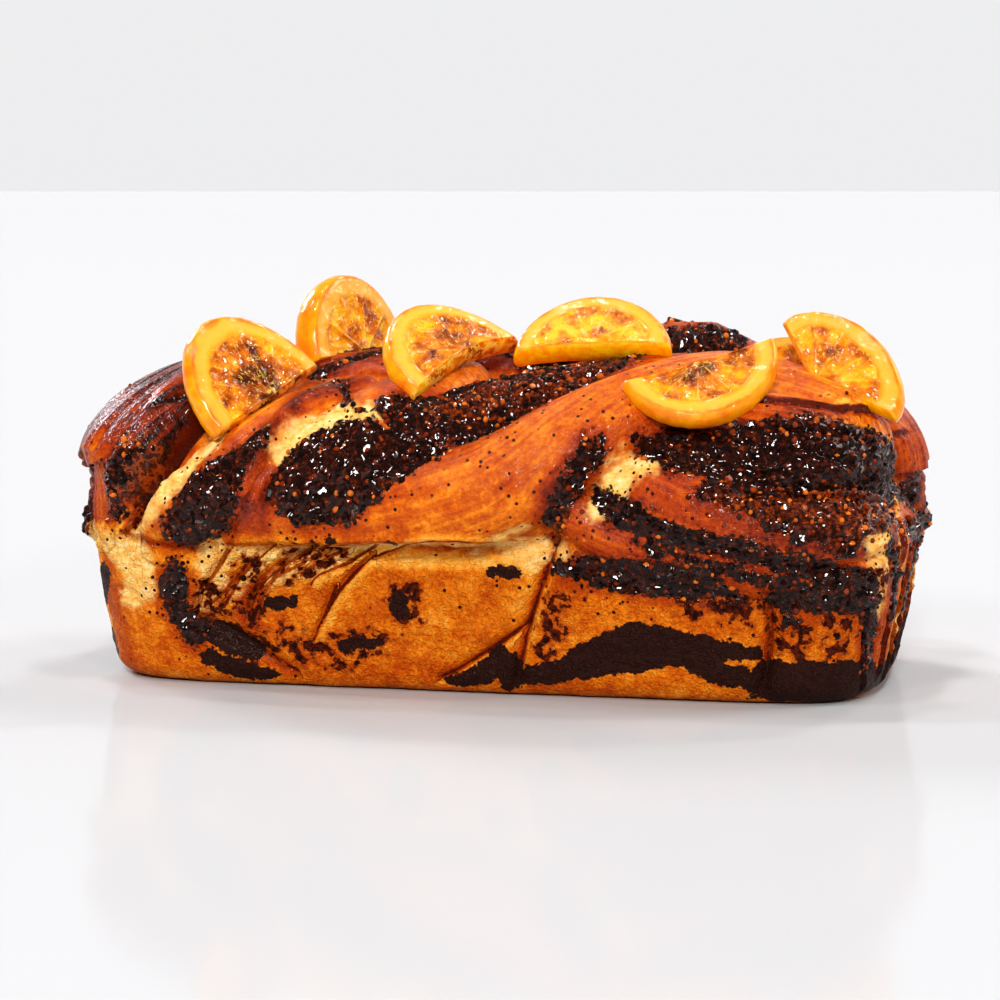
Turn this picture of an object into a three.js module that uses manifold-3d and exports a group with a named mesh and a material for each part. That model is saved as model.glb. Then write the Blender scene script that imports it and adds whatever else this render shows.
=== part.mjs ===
// A chocolate and poppy seed babka: one twisted loaf, baked in a tin, with seven half slices of
// candied orange lying on its crown.
// Millimetres, +Z up. The loaf's long front faces -Y, and the origin is the middle of its foot.

import * as THREE from "three";
import { mergeVertices } from "three/addons/utils/BufferGeometryUtils.js";
import Module from "manifold-3d";

const wasm = await Module();
wasm.setup();

// ---- Driving sizes ----

// The tin that the loaf was baked in: a 9 by 5 inch loaf tin with sloping walls.
const TIN_FOOT = { halfLength: 109, halfWidth: 49, edgeRadius: 6 };
const TIN_RIM = { halfLength: 115.5, halfWidth: 55, height: 42 };
// The dough that rose out of the tin, under the strands.
const CROWN = {
  height: 86,
  sideShoulder: 48,
  endShoulder: 54,
  sideSwell: 2,
  endSwell: -8,
  swellSpan: 14,
};
// How a level cut shrinks towards the crown's top, as (1 - share ** power) ** root.
const END_DOME = { power: 2.6, root: 0.24 };
const SIDE_DOME = { power: 2.3, root: 0.5 };
const ALMOST_CLOSED = 0.999;
// How square a level cut is at its ends and along its sides: 2 is round, and a larger number is
// squarer. The tin's corners are square, and the crown's grow rounder between two heights.
const CORNER = { wallEnds: 10, wallSides: 4, crownEnds: 4, crownSides: 4, from: 36, to: 62 };
// The spine inside the loaf that every point of the crust is measured out from.
const SPINE = { halfLength: 70, height: 35 };

// The tin held the dough flat below its rim, and above it the strands stand free.
const WALL_RELIEF = 1.2;
const FREE_RELIEF = 20;
// Between these heights below and above the rim the one passes into the other. At one end of each
// side the strands came down into the tin, so there the change starts lower, by the place along it.
const RIM_FADE = { below: 5, belowAtTwist: 24, above: 13, twistFrom: 5, twistTo: 50, endBlend: 20 };
// How sharply a strand's side drops, and how softly two strands meet.
const STRAND_POWER = 2.1;
const STRAND_BLEND = 1.4;
const VALLEY_FILL = 0.25;
const ROUTE_STEPS = 28;

// Cells of the crust along, across and up the loaf, and the box whose outer points they share out.
const CRUST_CELLS = [46, 18, 18];
const CELL_BOX = { halfLength: 119.5, halfWidth: 59, height: 96 };
const FOOT_TOLERANCE = 0.01;
const LEAST_CLEARANCE = 0.2;

const SEED_RADIUS = 0.85;
const SEED_SPREAD = 0.15;
const SEED_STANDS = 0.35;
const SEED_SPACING = 5;
const SEED_COUNT = 108;
const SEED_CLEARANCE = 3;
const SEEDS_FROM_HEIGHT = 32;
const SEED_TRIES = 9000;
const SEED_DRAW = 7;

const SLICE_THICKNESS = 6.5;
const SLICE_CELLS = [11, 4, 3];
const SLICE_GAP = 0.3;
const SLICE_ROUNDING = { rim: 0.045, cutEdge: 0.8 };

// ---- Materials ----

const CRUST = new THREE.MeshStandardMaterial({ color: 0x8a4412, roughness: 0.4, metalness: 0 });
const CANDIED_ORANGE = new THREE.MeshStandardMaterial({
  color: 0xf59a0c,
  roughness: 0.18,
  metalness: 0,
});

// ---- The strands ----

// Each strand's route runs over the crust, and is drawn in to it from the points given here.
// A point is [x, y, z, half width, rise above the crust]. seeded is where the cut face of the
// dough shows its filling, as shares of the half width from the strand's left side to its right.
const FRONT_STRANDS = [
  {
    name: "leftDome",
    route: [
      [-62, 4, 88, 14, 6],
      [-80, -14, 86, 17, 9],
      [-96, -34, 78, 19, 12],
      [-107, -42, 65, 19, 15],
      [-109, -42, 53, 14, 6],
      [-104, -42, 42, 7, 1],
    ],
    seeded: [0.5, 1],
  },
  {
    name: "leftRise",
    route: [
      [-90, -58, 40, 6, 3],
      [-82, -58, 48, 10, 7],
      [-70, -60, 58, 12, 9],
      [-59, -58, 69, 11, 9],
      [-48, -50, 80, 9, 8],
      [-36, -36, 88, 6, 5],
    ],
    seeded: [-0.2, 0.9],
  },
  {
    name: "pocket",
    route: [
      [-60, -60, 43, 7, 5],
      [-50, -61, 52, 12, 8],
      [-38, -60, 63, 15, 10],
      [-28, -54, 75, 14, 10],
      [-20, -42, 85, 12, 8],
      [-10, -24, 90, 9, 6],
    ],
    seeded: [0, 1],
  },
  {
    name: "goldenBand",
    route: [
      [-68, -58, 41, 4, 2],
      [-50, -60, 44, 7, 6],
      [-32, -61, 48, 10, 8],
      [-12, -61, 53, 13, 10],
      [10, -61, 60, 14, 11],
      [28, -57, 69, 12, 11],
      [44, -48, 79, 10, 10],
      [58, -34, 88, 10, 9],
      [74, -12, 90, 10, 7],
      [90, 14, 86, 10, 5],
    ],
  },
  {
    name: "seededCrest",
    route: [
      [-30, -50, 72, 7, 4],
      [-14, -54, 75, 11, 7],
      [4, -46, 82, 12, 8],
      [22, -36, 87, 11, 8],
      [42, -20, 90, 10, 7],
      [60, 0, 91, 9, 6],
    ],
    seeded: [-1, 1],
  },
  {
    name: "rightShoulder",
    route: [
      [52, -42, 84, 8, 4],
      [66, -46, 82, 10, 8],
      [82, -46, 80, 11, 9],
      [98, -42, 78, 11, 8],
      [110, -32, 73, 11, 6],
      [117, -18, 64, 11, 4],
    ],
  },
  {
    name: "endShoulder",
    route: [
      [66, -6, 88, 12, 3],
      [84, -14, 83, 17, 8],
      [98, -18, 75, 18, 10],
      [106, -20, 64, 16, 6],
      [108, -20, 54, 12, 2],
    ],
  },
  {
    name: "darkBand",
    route: [
      [50, -54, 72, 7, 4],
      [66, -57, 69, 9, 5],
      [90, -56, 67, 9, 5],
      [108, -48, 65, 9, 4],
      [116, -32, 60, 8, 3],
    ],
    seeded: [-1, 1],
  },
  {
    name: "rightShelf",
    route: [
      [40, -60, 64, 5, 3],
      [50, -60, 60, 9, 7],
      [66, -60, 54, 10, 9],
      [86, -57, 50, 10, 9],
      [103, -50, 49, 9, 7],
      [113, -38, 49, 7, 3],
    ],
    seeded: [-1, -0.2],
  },
  {
    name: "lowerBand",
    route: [
      [28, -58, 52, 6, 3],
      [44, -58, 46, 9, 5],
      [66, -56, 41, 9, 5],
      [90, -53, 36, 8, 3],
      [108, -42, 33, 7, 2],
    ],
    seeded: [-1, 1],
  },
];

// The hump of dough that stands up behind the golden band, and the ridge along the crest.
const CREST_STRANDS = [
  {
    name: "crestHump",
    route: [
      [24, 8, 91, 8, 5],
      [42, 12, 91, 12, 14],
      [56, 14, 90, 12, 15],
      [68, 15, 88, 9, 10],
    ],
    seeded: [-1, 1],
  },
  {
    name: "crestRidge",
    route: [
      [-62, -10, 89, 9, 4],
      [-34, -6, 91, 13, 6],
      [-4, 2, 92, 13, 7],
      [24, 4, 92, 11, 6],
    ],
    seeded: [-1, 1],
  },
];

// The twist looks alike from behind: its strands are the front's, turned half round.
const BACK_TURN = { shiftX: 3, rise: 0.8, width: 1.04 };

// Creases pressed in between the folds of dough: [x, y, z, half width, depth].
const CREASES = [
  [
    [25, -56, 43, 3.5, 3.5],
    [20, -55, 30, 3.2, 2.5],
    [16, -52, 18, 3, 2],
    [13, -50, 4, 3, 1.6],
  ],
  [
    [16, -52, 20, 3, 1.4],
    [6, -51, 13, 3, 1.6],
    [-8, -50, 4, 3, 1.4],
  ],
  [
    [82, -52, 29, 3, 1.5],
    [82, -50, 17, 3.5, 2.6],
    [80, -48, 4, 3, 2],
  ],
  [
    [-78, -52, 21, 3, 1.2],
    [-64, -51, 13, 3, 2],
    [-50, -49, 4, 3, 1.4],
  ],
  [
    [-98, -50, 40, 3.2, 2],
    [-59, -55, 40, 3, 2.4],
    [-17, -55, 41, 3, 2.4],
    [23, -55, 42, 3.2, 3],
  ],
];

// ---- The candied slices ----

// Each half slice is given by the two ends of its cut edge and by the middle of its rind.
// bend is how far its two ends curl back, and apex how far its cut edge bows out in the middle.
const SLICES = [
  { cut: [[-68, -58.5, 70.5], [-50, -24, 87.5]], rind: [-77.5, -38, 101], bend: 2, apex: 1 },
  { cut: [[-55, -16.5, 87.5], [-38.5, 22, 89.5]], rind: [-54, 3, 112], bend: 1, apex: 0 },
  { cut: [[-15.5, -48, 82.5], [5.5, -13, 96]], rind: [-26, -23, 102], bend: 3, apex: -2 },
  { cut: [[5.5, -22, 91.5], [49.5, -17, 93.5]], rind: [24.5, 0, 105], bend: 2, apex: 1 },
  { cut: [[41.5, -48.5, 83.5], [80, -32, 95]], rind: [70.5, -51.5, 77], bend: 2, apex: 1 },
  { cut: [[78.5, -7.5, 100.5], [112, -27.5, 76]], rind: [104.5, -13.5, 97.5], bend: 2, apex: 8 },
  { cut: [[62, 3, 85], [102, 9, 82]], rind: [82, 11.5, 95], bend: 2, apex: 0 },
];

// ---- Helpers ----

const clamp = THREE.MathUtils.clamp;
const smoothstep = THREE.MathUtils.smoothstep;

/** A closed shell over the faces of a box of cells, each of its points put in place by place(). */
function latticeShell([nx, ny, nz], place, flatFoot) {
  const points = [];
  const faces = [];
  const known = new Map();
  const corner = (i, j, k) => {
    const key = (i * (ny + 1) + j) * (nz + 1) + k;
    if (!known.has(key)) {
      known.set(key, points.length);
      points.push(place((2 * i) / nx - 1, (2 * j) / ny - 1, k / nz));
    }
    return known.get(key);
  };
  const quad = (a, b, c, d, flip) => {
    const [p, q, r, s] = flip ? [a, d, c, b] : [a, b, c, d];
    faces.push(p, q, r, p, r, s);
  };
  for (let i = 0; i < nx; i++)
    for (let j = 0; j < ny; j++)
      for (const k of flatFoot ? [nz] : [0, nz]) {
        const low = k === 0;
        quad(corner(i, j, k), corner(i + 1, j, k), corner(i + 1, j + 1, k), corner(i, j + 1, k), low);
      }
  for (let k = 0; k < nz; k++) {
    for (let i = 0; i < nx; i++)
      for (const j of [0, ny]) {
        const back = j === ny;
        quad(corner(i, j, k), corner(i + 1, j, k), corner(i + 1, j, k + 1), corner(i, j, k + 1), back);
      }
    for (let j = 0; j < ny; j++)
      for (const i of [0, nx]) {
        const left = i === 0;
        quad(corner(i, j, k), corner(i, j + 1, k), corner(i, j + 1, k + 1), corner(i, j, k + 1), left);
      }
  }
  if (flatFoot) {
    // The foot is flat, so one fan of triangles round its middle closes it.
    const middle = points.push(new THREE.Vector3(0, 0, 0)) - 1;
    const ring = [];
    for (let i = 0; i < nx; i++) ring.push(corner(i, 0, 0));
    for (let j = 0; j < ny; j++) ring.push(corner(nx, j, 0));
    for (let i = nx; i > 0; i--) ring.push(corner(i, ny, 0));
    for (let j = ny; j > 0; j--) ring.push(corner(0, j, 0));
    ring.forEach((from, n) => faces.push(from, middle, ring[(n + 1) % ring.length]));
  }
  return geometryOf(points, faces);
}

function geometryOf(points, faces) {
  const geometry = new THREE.BufferGeometry();
  geometry.setFromPoints(points);
  geometry.setIndex(faces);
  geometry.computeVertexNormals();
  return geometry;
}

function solidOf(geometry) {
  const bare = geometry.clone();
  bare.deleteAttribute("normal");
  bare.deleteAttribute("uv");
  const merged = mergeVertices(bare, 1e-4);
  const mesh = new wasm.Mesh({
    numProp: 3,
    vertProperties: new Float32Array(merged.attributes.position.array),
    triVerts: new Uint32Array(merged.index.array),
  });
  return new wasm.Manifold(mesh);
}

function geometryFrom(solid) {
  const mesh = solid.getMesh();
  const geometry = new THREE.BufferGeometry();
  geometry.setAttribute("position", new THREE.BufferAttribute(mesh.vertProperties, mesh.numProp));
  geometry.setIndex(new THREE.BufferAttribute(mesh.triVerts, 1));
  geometry.computeVertexNormals();
  return geometry;
}

/** The largest closed body of a solid: what a cut leaves loose is dropped. */
function mainBody(solid) {
  return solid.decompose().reduce((most, body) => (body.volume() > most.volume() ? body : most));
}

/** A repeatable draw from 0 to 1. */
function seededDraw(seed) {
  let state = seed;
  return () => {
    state = (state * 1664525 + 1013904223) % 4294967296;
    return state / 4294967296;
  };
}

// ---- The plain loaf under the strands ----

/** Half the length and half the width of a level cut at height z. */
function levelCut(z) {
  const up = clamp(z / TIN_RIM.height, 0, 1);
  const risen = clamp((z - TIN_RIM.height) / CROWN.swellSpan, 0, 1);
  const below = Math.max(TIN_FOOT.edgeRadius - z, 0);
  const edge = TIN_FOOT.edgeRadius - Math.sqrt(TIN_FOOT.edgeRadius ** 2 - below ** 2);
  const endShare = clamp((z - CROWN.endShoulder) / (CROWN.height - CROWN.endShoulder), 0, 1);
  const sideShare = clamp((z - CROWN.sideShoulder) / (CROWN.height - CROWN.sideShoulder), 0, 1);
  const endDome = (1 - ALMOST_CLOSED * endShare ** END_DOME.power) ** END_DOME.root;
  const sideDome = (1 - ALMOST_CLOSED * sideShare ** SIDE_DOME.power) ** SIDE_DOME.root;
  const length = THREE.MathUtils.lerp(TIN_FOOT.halfLength, TIN_RIM.halfLength, up);
  const width = THREE.MathUtils.lerp(TIN_FOOT.halfWidth, TIN_RIM.halfWidth, up);
  return [
    (length + CROWN.endSwell * risen - edge) * endDome,
    (width + CROWN.sideSwell * risen - edge) * sideDome,
  ];
}

function isInside(point) {
  if (point.z < 0 || point.z >= CROWN.height) return false;
  const [length, width] = levelCut(point.z);
  const crown = smoothstep(point.z, CORNER.from, CORNER.to);
  const ends = THREE.MathUtils.lerp(CORNER.wallEnds, CORNER.crownEnds, crown);
  const sides = THREE.MathUtils.lerp(CORNER.wallSides, CORNER.crownSides, crown);
  return (Math.abs(point.x) / length) ** ends + (Math.abs(point.y) / width) ** sides < 1;
}

/** The point of the spine that a point of the crust is measured out from. */
function spinePoint({ x, z }) {
  const along = clamp(x, -SPINE.halfLength, SPINE.halfLength);
  return new THREE.Vector3(along, 0, clamp(z, 0, SPINE.height));
}

/** The point of the plain loaf's surface that lies out from its spine through guess. */
function onSurface(guess) {
  const from = spinePoint(guess);
  const out = guess.clone().sub(from).normalize();
  let inner = 0;
  let outer = 200;
  for (let step = 0; step < 40; step++) {
    const middle = (inner + outer) / 2;
    if (isInside(from.clone().addScaledVector(out, middle))) inner = middle;
    else outer = middle;
  }
  return from.addScaledVector(out, inner);
}

// ---- Relief: strands and creases ----

/** A route as closely spaced samples on the plain loaf: place, direction, half width and height. */
function sampledRoute(route) {
  const curve = new THREE.CatmullRomCurve3(route.map(([x, y, z]) => new THREE.Vector3(x, y, z)));
  const places = [];
  for (let n = 0; n <= ROUTE_STEPS; n++) places.push(onSurface(curve.getPoint(n / ROUTE_STEPS)));
  return places.map((place, n) => {
    const before = places[Math.max(n - 1, 0)];
    const after = places[Math.min(n + 1, ROUTE_STEPS)];
    const at = (n / ROUTE_STEPS) * (route.length - 1);
    const first = Math.min(Math.floor(at), route.length - 2);
    const mix = (column) =>
      THREE.MathUtils.lerp(route[first][column], route[first + 1][column], at - first);
    // The way across a strand's top, to its right as the route runs upward.
    const outward = place.clone().sub(spinePoint(place));
    const across = new THREE.Vector3().crossVectors(after.clone().sub(before), outward).normalize();
    return { place, across, width: mix(3), height: mix(4) };
  });
}

/** How far point is from a sampled route: the share of its half width, and its height there. */
function nearest(samples, point) {
  const stretch = new THREE.Line3();
  const foot = new THREE.Vector3();
  let best = { share: Infinity };
  for (let n = 1; n < samples.length; n++) {
    const before = samples[n - 1];
    const after = samples[n];
    stretch.set(before.place, after.place);
    const part = stretch.closestPointToPointParameter(point, true);
    const width = THREE.MathUtils.lerp(before.width, after.width, part);
    const share = point.distanceTo(stretch.at(part, foot)) / width;
    if (share >= best.share) continue;
    best = { share, width, height: THREE.MathUtils.lerp(before.height, after.height, part) };
    best.side = point.clone().sub(foot).dot(before.across) / width;
  }
  return best;
}

function turnedHalfRound(strand) {
  const route = strand.route.map(([x, y, z, width, rise]) => [
    -x + BACK_TURN.shiftX,
    -y,
    z,
    width * BACK_TURN.width,
    rise * BACK_TURN.rise,
  ]);
  return { ...strand, name: strand.name + "Back", route };
}

const backStrands = FRONT_STRANDS.map(turnedHalfRound);
const strands = [...FRONT_STRANDS, ...CREST_STRANDS, ...backStrands].map((strand) => ({
  ...strand,
  samples: sampledRoute(strand.route),
}));
const creases = [...CREASES, ...CREASES.map((crease) => turnedHalfRound({ route: crease }).route)];
const creaseSamples = creases.map(sampledRoute);

function strandHeight(strand, point) {
  const { share, height } = nearest(strand.samples, point);
  return share < 1 ? height * Math.sqrt(1 - share ** STRAND_POWER) : 0;
}

/** How far the crust stands out from the plain loaf at a point of its surface. */
function relief(point) {
  let height = 0;
  for (const strand of strands) {
    const rise = strandHeight(strand, point);
    // A soft maximum, so that two strands meet in a rounded valley.
    const closeness = Math.max(1 - Math.abs(rise - height) / STRAND_BLEND, 0);
    const fill = Math.min(rise, height) > 0 ? VALLEY_FILL * STRAND_BLEND * closeness ** 2 : 0;
    height = Math.max(height, rise) + fill;
  }
  const side = clamp(-point.y / RIM_FADE.endBlend, -1, 1);
  const twist = smoothstep(point.x * side, RIM_FADE.twistFrom, RIM_FADE.twistTo);
  const below = THREE.MathUtils.lerp(RIM_FADE.below, RIM_FADE.belowAtTwist, twist);
  const free = smoothstep(point.z, TIN_RIM.height - below, TIN_RIM.height + RIM_FADE.above);
  height = Math.min(height, THREE.MathUtils.lerp(WALL_RELIEF, FREE_RELIEF, free));
  for (const samples of creaseSamples) {
    const crease = nearest(samples, point);
    height -= crease.height * Math.exp(-(crease.share ** 2));
  }
  return height;
}

// ---- The loaf ----

/** The crust as a closed surface, grown outward by extra. */
function crustGeometry(extra) {
  const { halfLength, halfWidth, height } = CELL_BOX;
  const plain = latticeShell(
    CRUST_CELLS,
    (a, b, c) => onSurface(new THREE.Vector3(a * halfLength, b * halfWidth, c * height)),
    true,
  );
  const points = plain.attributes.position;
  const normals = plain.attributes.normal;
  const point = new THREE.Vector3();
  const out = new THREE.Vector3();
  for (let n = 0; n < points.count; n++) {
    point.fromBufferAttribute(points, n);
    out.fromBufferAttribute(normals, n);
    const onFoot = point.z < FOOT_TOLERANCE;
    if (onFoot && point.x === 0 && point.y === 0) continue;
    if (onFoot) out.setZ(0).normalize();
    const moved = point.clone().addScaledVector(out, relief(point) + extra);
    points.setXYZ(n, moved.x, moved.y, onFoot ? 0 : Math.max(moved.z, LEAST_CLEARANCE));
  }
  plain.computeVertexNormals();
  return plain;
}

/** Whether the strand that stands highest at this point of the plain loaf shows its filling. */
function showsFilling(point) {
  const ranked = strands.map((strand) => ({ strand, rise: strandHeight(strand, point) }));
  const top = ranked.reduce((most, one) => (one.rise > most.rise ? one : most));
  if (top.rise < 1 || !top.strand.seeded) return false;
  const { side } = nearest(top.strand.samples, point);
  return side >= top.strand.seeded[0] && side <= top.strand.seeded[1];
}

/** Poppy seeds spread evenly over the filling, clear of the slices, largest first. */
function seedSolids(crust, sliceSolids) {
  const draw = seededDraw(SEED_DRAW);
  const points = crust.attributes.position;
  const normals = crust.attributes.normal;
  const faces = crust.index;
  const boxes = sliceSolids.map((slice) => slice.boundingBox());
  const placed = [];
  const corner = new THREE.Vector3();
  for (let tries = 0; tries < SEED_TRIES && placed.length < SEED_COUNT; tries++) {
    const face = Math.floor(draw() * (faces.count / 3));
    const weights = [draw(), draw(), draw()];
    const sum = weights.reduce((total, weight) => total + weight);
    const at = new THREE.Vector3();
    const out = new THREE.Vector3();
    weights.forEach((weight, n) => {
      const index = faces.getX(face * 3 + n);
      at.addScaledVector(corner.fromBufferAttribute(points, index), weight / sum);
      out.addScaledVector(corner.fromBufferAttribute(normals, index), weight / sum);
    });
    if (at.z < SEEDS_FROM_HEIGHT || !showsFilling(onSurface(at))) continue;
    if (placed.some((other) => other.at.distanceTo(at) < SEED_SPACING)) continue;
    const nearSlice = boxes.some(({ min, max }) =>
      at.toArray().every((v, n) => v > min[n] - SEED_CLEARANCE && v < max[n] + SEED_CLEARANCE),
    );
    if (nearSlice) continue;
    const shrink = 1 - placed.length / SEED_COUNT;
    placed.push({ at, out: out.normalize(), radius: SEED_RADIUS + SEED_SPREAD * (2 * shrink - 1) });
  }
  return placed.map(({ at, out, radius }) => {
    const seed = new THREE.IcosahedronGeometry(radius, 0);
    seed.rotateX(draw() * Math.PI);
    seed.rotateZ(draw() * Math.PI);
    seed.translate(...at.addScaledVector(out, SEED_STANDS * radius).toArray());
    return solidOf(seed);
  });
}

// ---- A candied slice ----

/** A half slice in its own frame: its cut edge lies along X, its rind bulges to +Y. */
function sliceGeometry(halfCut, depth, bend, apex) {
  return latticeShell(SLICE_CELLS, (a, b, c) => {
    // A square of cells becomes a half disc, with its cut edge at b = -1.
    const v = (b + 1) / 2;
    const x = a * Math.sqrt(1 - (v * v) / 2);
    const y = v * Math.sqrt(1 - (a * a) / 2);
    const w = 2 * c - 1;
    const rounding = 1 - SLICE_ROUNDING.rim * w * w;
    const cutBack = SLICE_ROUNDING.cutEdge * w * w - apex * (1 - Math.abs(a));
    return new THREE.Vector3(
      x * halfCut * rounding,
      y * depth * rounding + cutBack * (1 - v),
      (w * SLICE_THICKNESS) / 2 - bend * x * x,
    );
  });
}

/** The slice as a mesh in place, less what the crust takes of it. */
function sliceMesh({ cut, rind, bend, apex }, index, grownCrust) {
  const [from, to] = cut.map((place) => new THREE.Vector3(...place));
  const middle = from.clone().add(to).multiplyScalar(0.5);
  const alongCut = to.clone().sub(from).normalize();
  const toRind = new THREE.Vector3(...rind).sub(middle);
  toRind.addScaledVector(alongCut, -toRind.dot(alongCut));
  const depth = toRind.length();
  const facing = new THREE.Vector3().crossVectors(alongCut, toRind).normalize();
  const frame = new THREE.Matrix4()
    .makeBasis(alongCut, toRind.normalize(), facing)
    .setPosition(middle);
  const whole = solidOf(sliceGeometry(from.distanceTo(to) / 2, depth, bend, apex));
  const crustHere = grownCrust.transform(frame.clone().invert().toArray());
  const mesh = new THREE.Mesh(geometryFrom(mainBody(whole.subtract(crustHere))), CANDIED_ORANGE);
  mesh.name = `orange_slice_${index + 1}`;
  mesh.applyMatrix4(frame);
  return mesh;
}

// ---- The whole ----

const crust = crustGeometry(0);
const grownCrust = solidOf(crustGeometry(SLICE_GAP));
const slices = SLICES.map((slice, index) => sliceMesh(slice, index, grownCrust));
const placedSlices = slices.map((slice) => {
  slice.updateMatrix();
  return solidOf(slice.geometry).transform(slice.matrix.toArray());
});
const seeds = seedSolids(crust, placedSlices);
const loaf = new THREE.Mesh(
  geometryFrom(wasm.Manifold.union([solidOf(crust), ...seeds])),
  CRUST,
);
loaf.name = "loaf";

const babka = new THREE.Group();
babka.add(loaf, ...slices);

export default babka;
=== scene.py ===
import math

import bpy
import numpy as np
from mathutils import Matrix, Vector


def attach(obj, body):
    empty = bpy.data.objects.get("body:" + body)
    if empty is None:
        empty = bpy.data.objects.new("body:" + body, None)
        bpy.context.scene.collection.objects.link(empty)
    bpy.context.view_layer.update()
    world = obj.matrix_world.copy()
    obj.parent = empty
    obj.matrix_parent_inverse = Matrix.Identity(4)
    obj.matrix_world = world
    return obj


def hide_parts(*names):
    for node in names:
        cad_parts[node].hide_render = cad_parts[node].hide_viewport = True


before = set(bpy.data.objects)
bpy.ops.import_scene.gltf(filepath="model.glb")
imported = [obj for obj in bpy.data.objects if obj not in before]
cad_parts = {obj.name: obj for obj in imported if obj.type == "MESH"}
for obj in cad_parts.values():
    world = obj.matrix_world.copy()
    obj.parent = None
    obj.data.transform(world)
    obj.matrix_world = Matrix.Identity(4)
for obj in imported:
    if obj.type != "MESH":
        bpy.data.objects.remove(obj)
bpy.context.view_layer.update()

# A babka baked in a tin: the twisted, glazed loaf with its poppy seed filling, the seeds that
# stand out of it, and seven candied orange slices. Lengths are in millimetres: where a mesh, the
# camera or a shader takes metres, they are multiplied by MM.

MM = 0.001

# ---- Camera ----

CAMERA_YAW = math.radians(13)
CAMERA_ELEVATION = math.radians(6)
CAMERA_DISTANCE = 850
CAMERA_TARGET = (0, 0, 50)
CAMERA_LENS = 106.62
CAMERA_SENSOR = 36
CAMERA_SHIFT = (-0.011, -0.0055)
CAMERA_SEES_TO = 50000

# ---- The plain loaf, as baked in its tin ----

TIN_FOOT = {"half_length": 109, "half_width": 49, "edge_radius": 6}
TIN_RIM = {"half_length": 115.5, "half_width": 55, "height": 42}
CROWN = {
    "height": 86,
    "side_shoulder": 48,
    "end_shoulder": 54,
    "side_swell": 2,
    "end_swell": -8,
    "swell_span": 14,
}
END_DOME = {"power": 2.6, "root": 0.24}
SIDE_DOME = {"power": 2.3, "root": 0.5}
ALMOST_CLOSED = 0.999
CORNER = {"wall_ends": 10, "wall_sides": 4, "crown": 4, "from": 36, "to": 62}
SPINE = {"half_length": 70, "height": 35}
REACH = 200
HALVINGS = 30

# How far the strands may stand out of the walls, and how that grows above the tin's rim.
WALL_RELIEF = 1.2
FREE_RELIEF = 20
RIM_FADE = {
    "below": 5,
    "below_at_twist": 24,
    "above": 13,
    "twist_from": 5,
    "twist_to": 50,
    "end_blend": 20,
}
STRAND_POWER = 2.1
STRAND_BLEND = 1.4
VALLEY_FILL = 0.25
ROUTE_STEPS = 28
# How many half widths away from a route its effect still counts.
NEAR = 3.2
# A distance in mm that stands for none, and a length too short to divide by.
FAR = 99.0
TINY = 1e-6

# The lattice of cells that the crust is made from, and the box it spans.
CRUST_CELLS = (350, 170, 140)
CELL_BOX = (119.5, 59, 96)
FOOT_TOLERANCE = 0.01
LOWEST_OFF_FOOT = 0.2
FOOT_BAKE = 0.5

# Strands of dough. The first number is the crust's colour, from 0 for pale dough to 1 for nearly
# burnt, and the second how much the dough shows the lengthwise lines that rolling left in it. The
# route follows: places on the loaf, each with the strand's half width and how far it rises.
FRONT_STRANDS = {
    "left_dome": (0.86, 1, [
        (-62, 4, 88, 14, 6), (-80, -14, 86, 17, 9), (-96, -34, 78, 19, 12), (-107, -42, 65, 19, 15),
        (-109, -42, 53, 14, 6), (-104, -42, 42, 7, 1),
    ]),
    "left_rise": (0.45, 0.5, [
        (-90, -58, 40, 6, 3), (-82, -58, 48, 10, 7), (-70, -60, 58, 12, 9), (-59, -58, 69, 11, 9),
        (-48, -50, 80, 9, 8), (-36, -36, 88, 6, 5),
    ]),
    "pocket": (0.46, 0.25, [
        (-60, -60, 43, 7, 5), (-50, -61, 52, 12, 8), (-38, -60, 63, 15, 10), (-28, -54, 75, 14, 10),
        (-20, -42, 85, 12, 8), (-10, -24, 90, 9, 6),
    ]),
    "golden_band": (0.5, 0.5, [
        (-68, -58, 41, 4, 2), (-50, -60, 44, 7, 6), (-32, -61, 48, 10, 8), (-12, -61, 53, 13, 10),
        (10, -61, 60, 14, 11), (27, -55, 71, 14, 12), (43, -45, 81, 13, 12), (58, -31, 89, 12, 11),
        (74, -10, 90, 11, 8), (90, 14, 86, 10, 5),
    ]),
    "seeded_crest": (0.6, 0.5, [
        (-30, -50, 72, 7, 4), (-14, -54, 75, 11, 7), (4, -46, 82, 12, 8), (22, -36, 87, 11, 8),
        (42, -20, 90, 10, 7), (60, 0, 91, 9, 6),
    ]),
    "right_shoulder": (0.6, 0.75, [
        (52, -42, 84, 8, 4), (66, -46, 82, 10, 8), (82, -46, 80, 11, 9), (98, -42, 78, 11, 8),
        (110, -32, 73, 11, 5), (117, -18, 62, 10, 0.4),
    ]),
    "end_shoulder": (0.46, 0.7, [
        (66, -6, 88, 12, 3), (84, -14, 83, 17, 8), (98, -18, 75, 18, 10), (106, -20, 64, 16, 5),
        (108, -20, 52, 12, 0.3),
    ]),
    "dark_band": (0.8, 0.5, [
        (50, -54, 72, 7, 4), (66, -57, 69, 9, 5), (90, -56, 67, 9, 5), (108, -48, 65, 9, 4),
        (116, -32, 60, 8, 0.4),
    ]),
    "right_shelf": (0.62, 0.5, [
        (40, -60, 64, 5, 3), (50, -60, 60, 9, 7), (66, -60, 54, 10, 9), (86, -57, 50, 10, 9),
        (103, -50, 49, 9, 7), (113, -38, 49, 7, 3),
    ]),
    "lower_band": (0.6, 0.5, [
        (28, -58, 52, 6, 3), (44, -58, 46, 9, 5), (66, -56, 41, 9, 5), (90, -53, 36, 8, 3),
        (108, -42, 33, 7, 2),
    ]),
}
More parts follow.
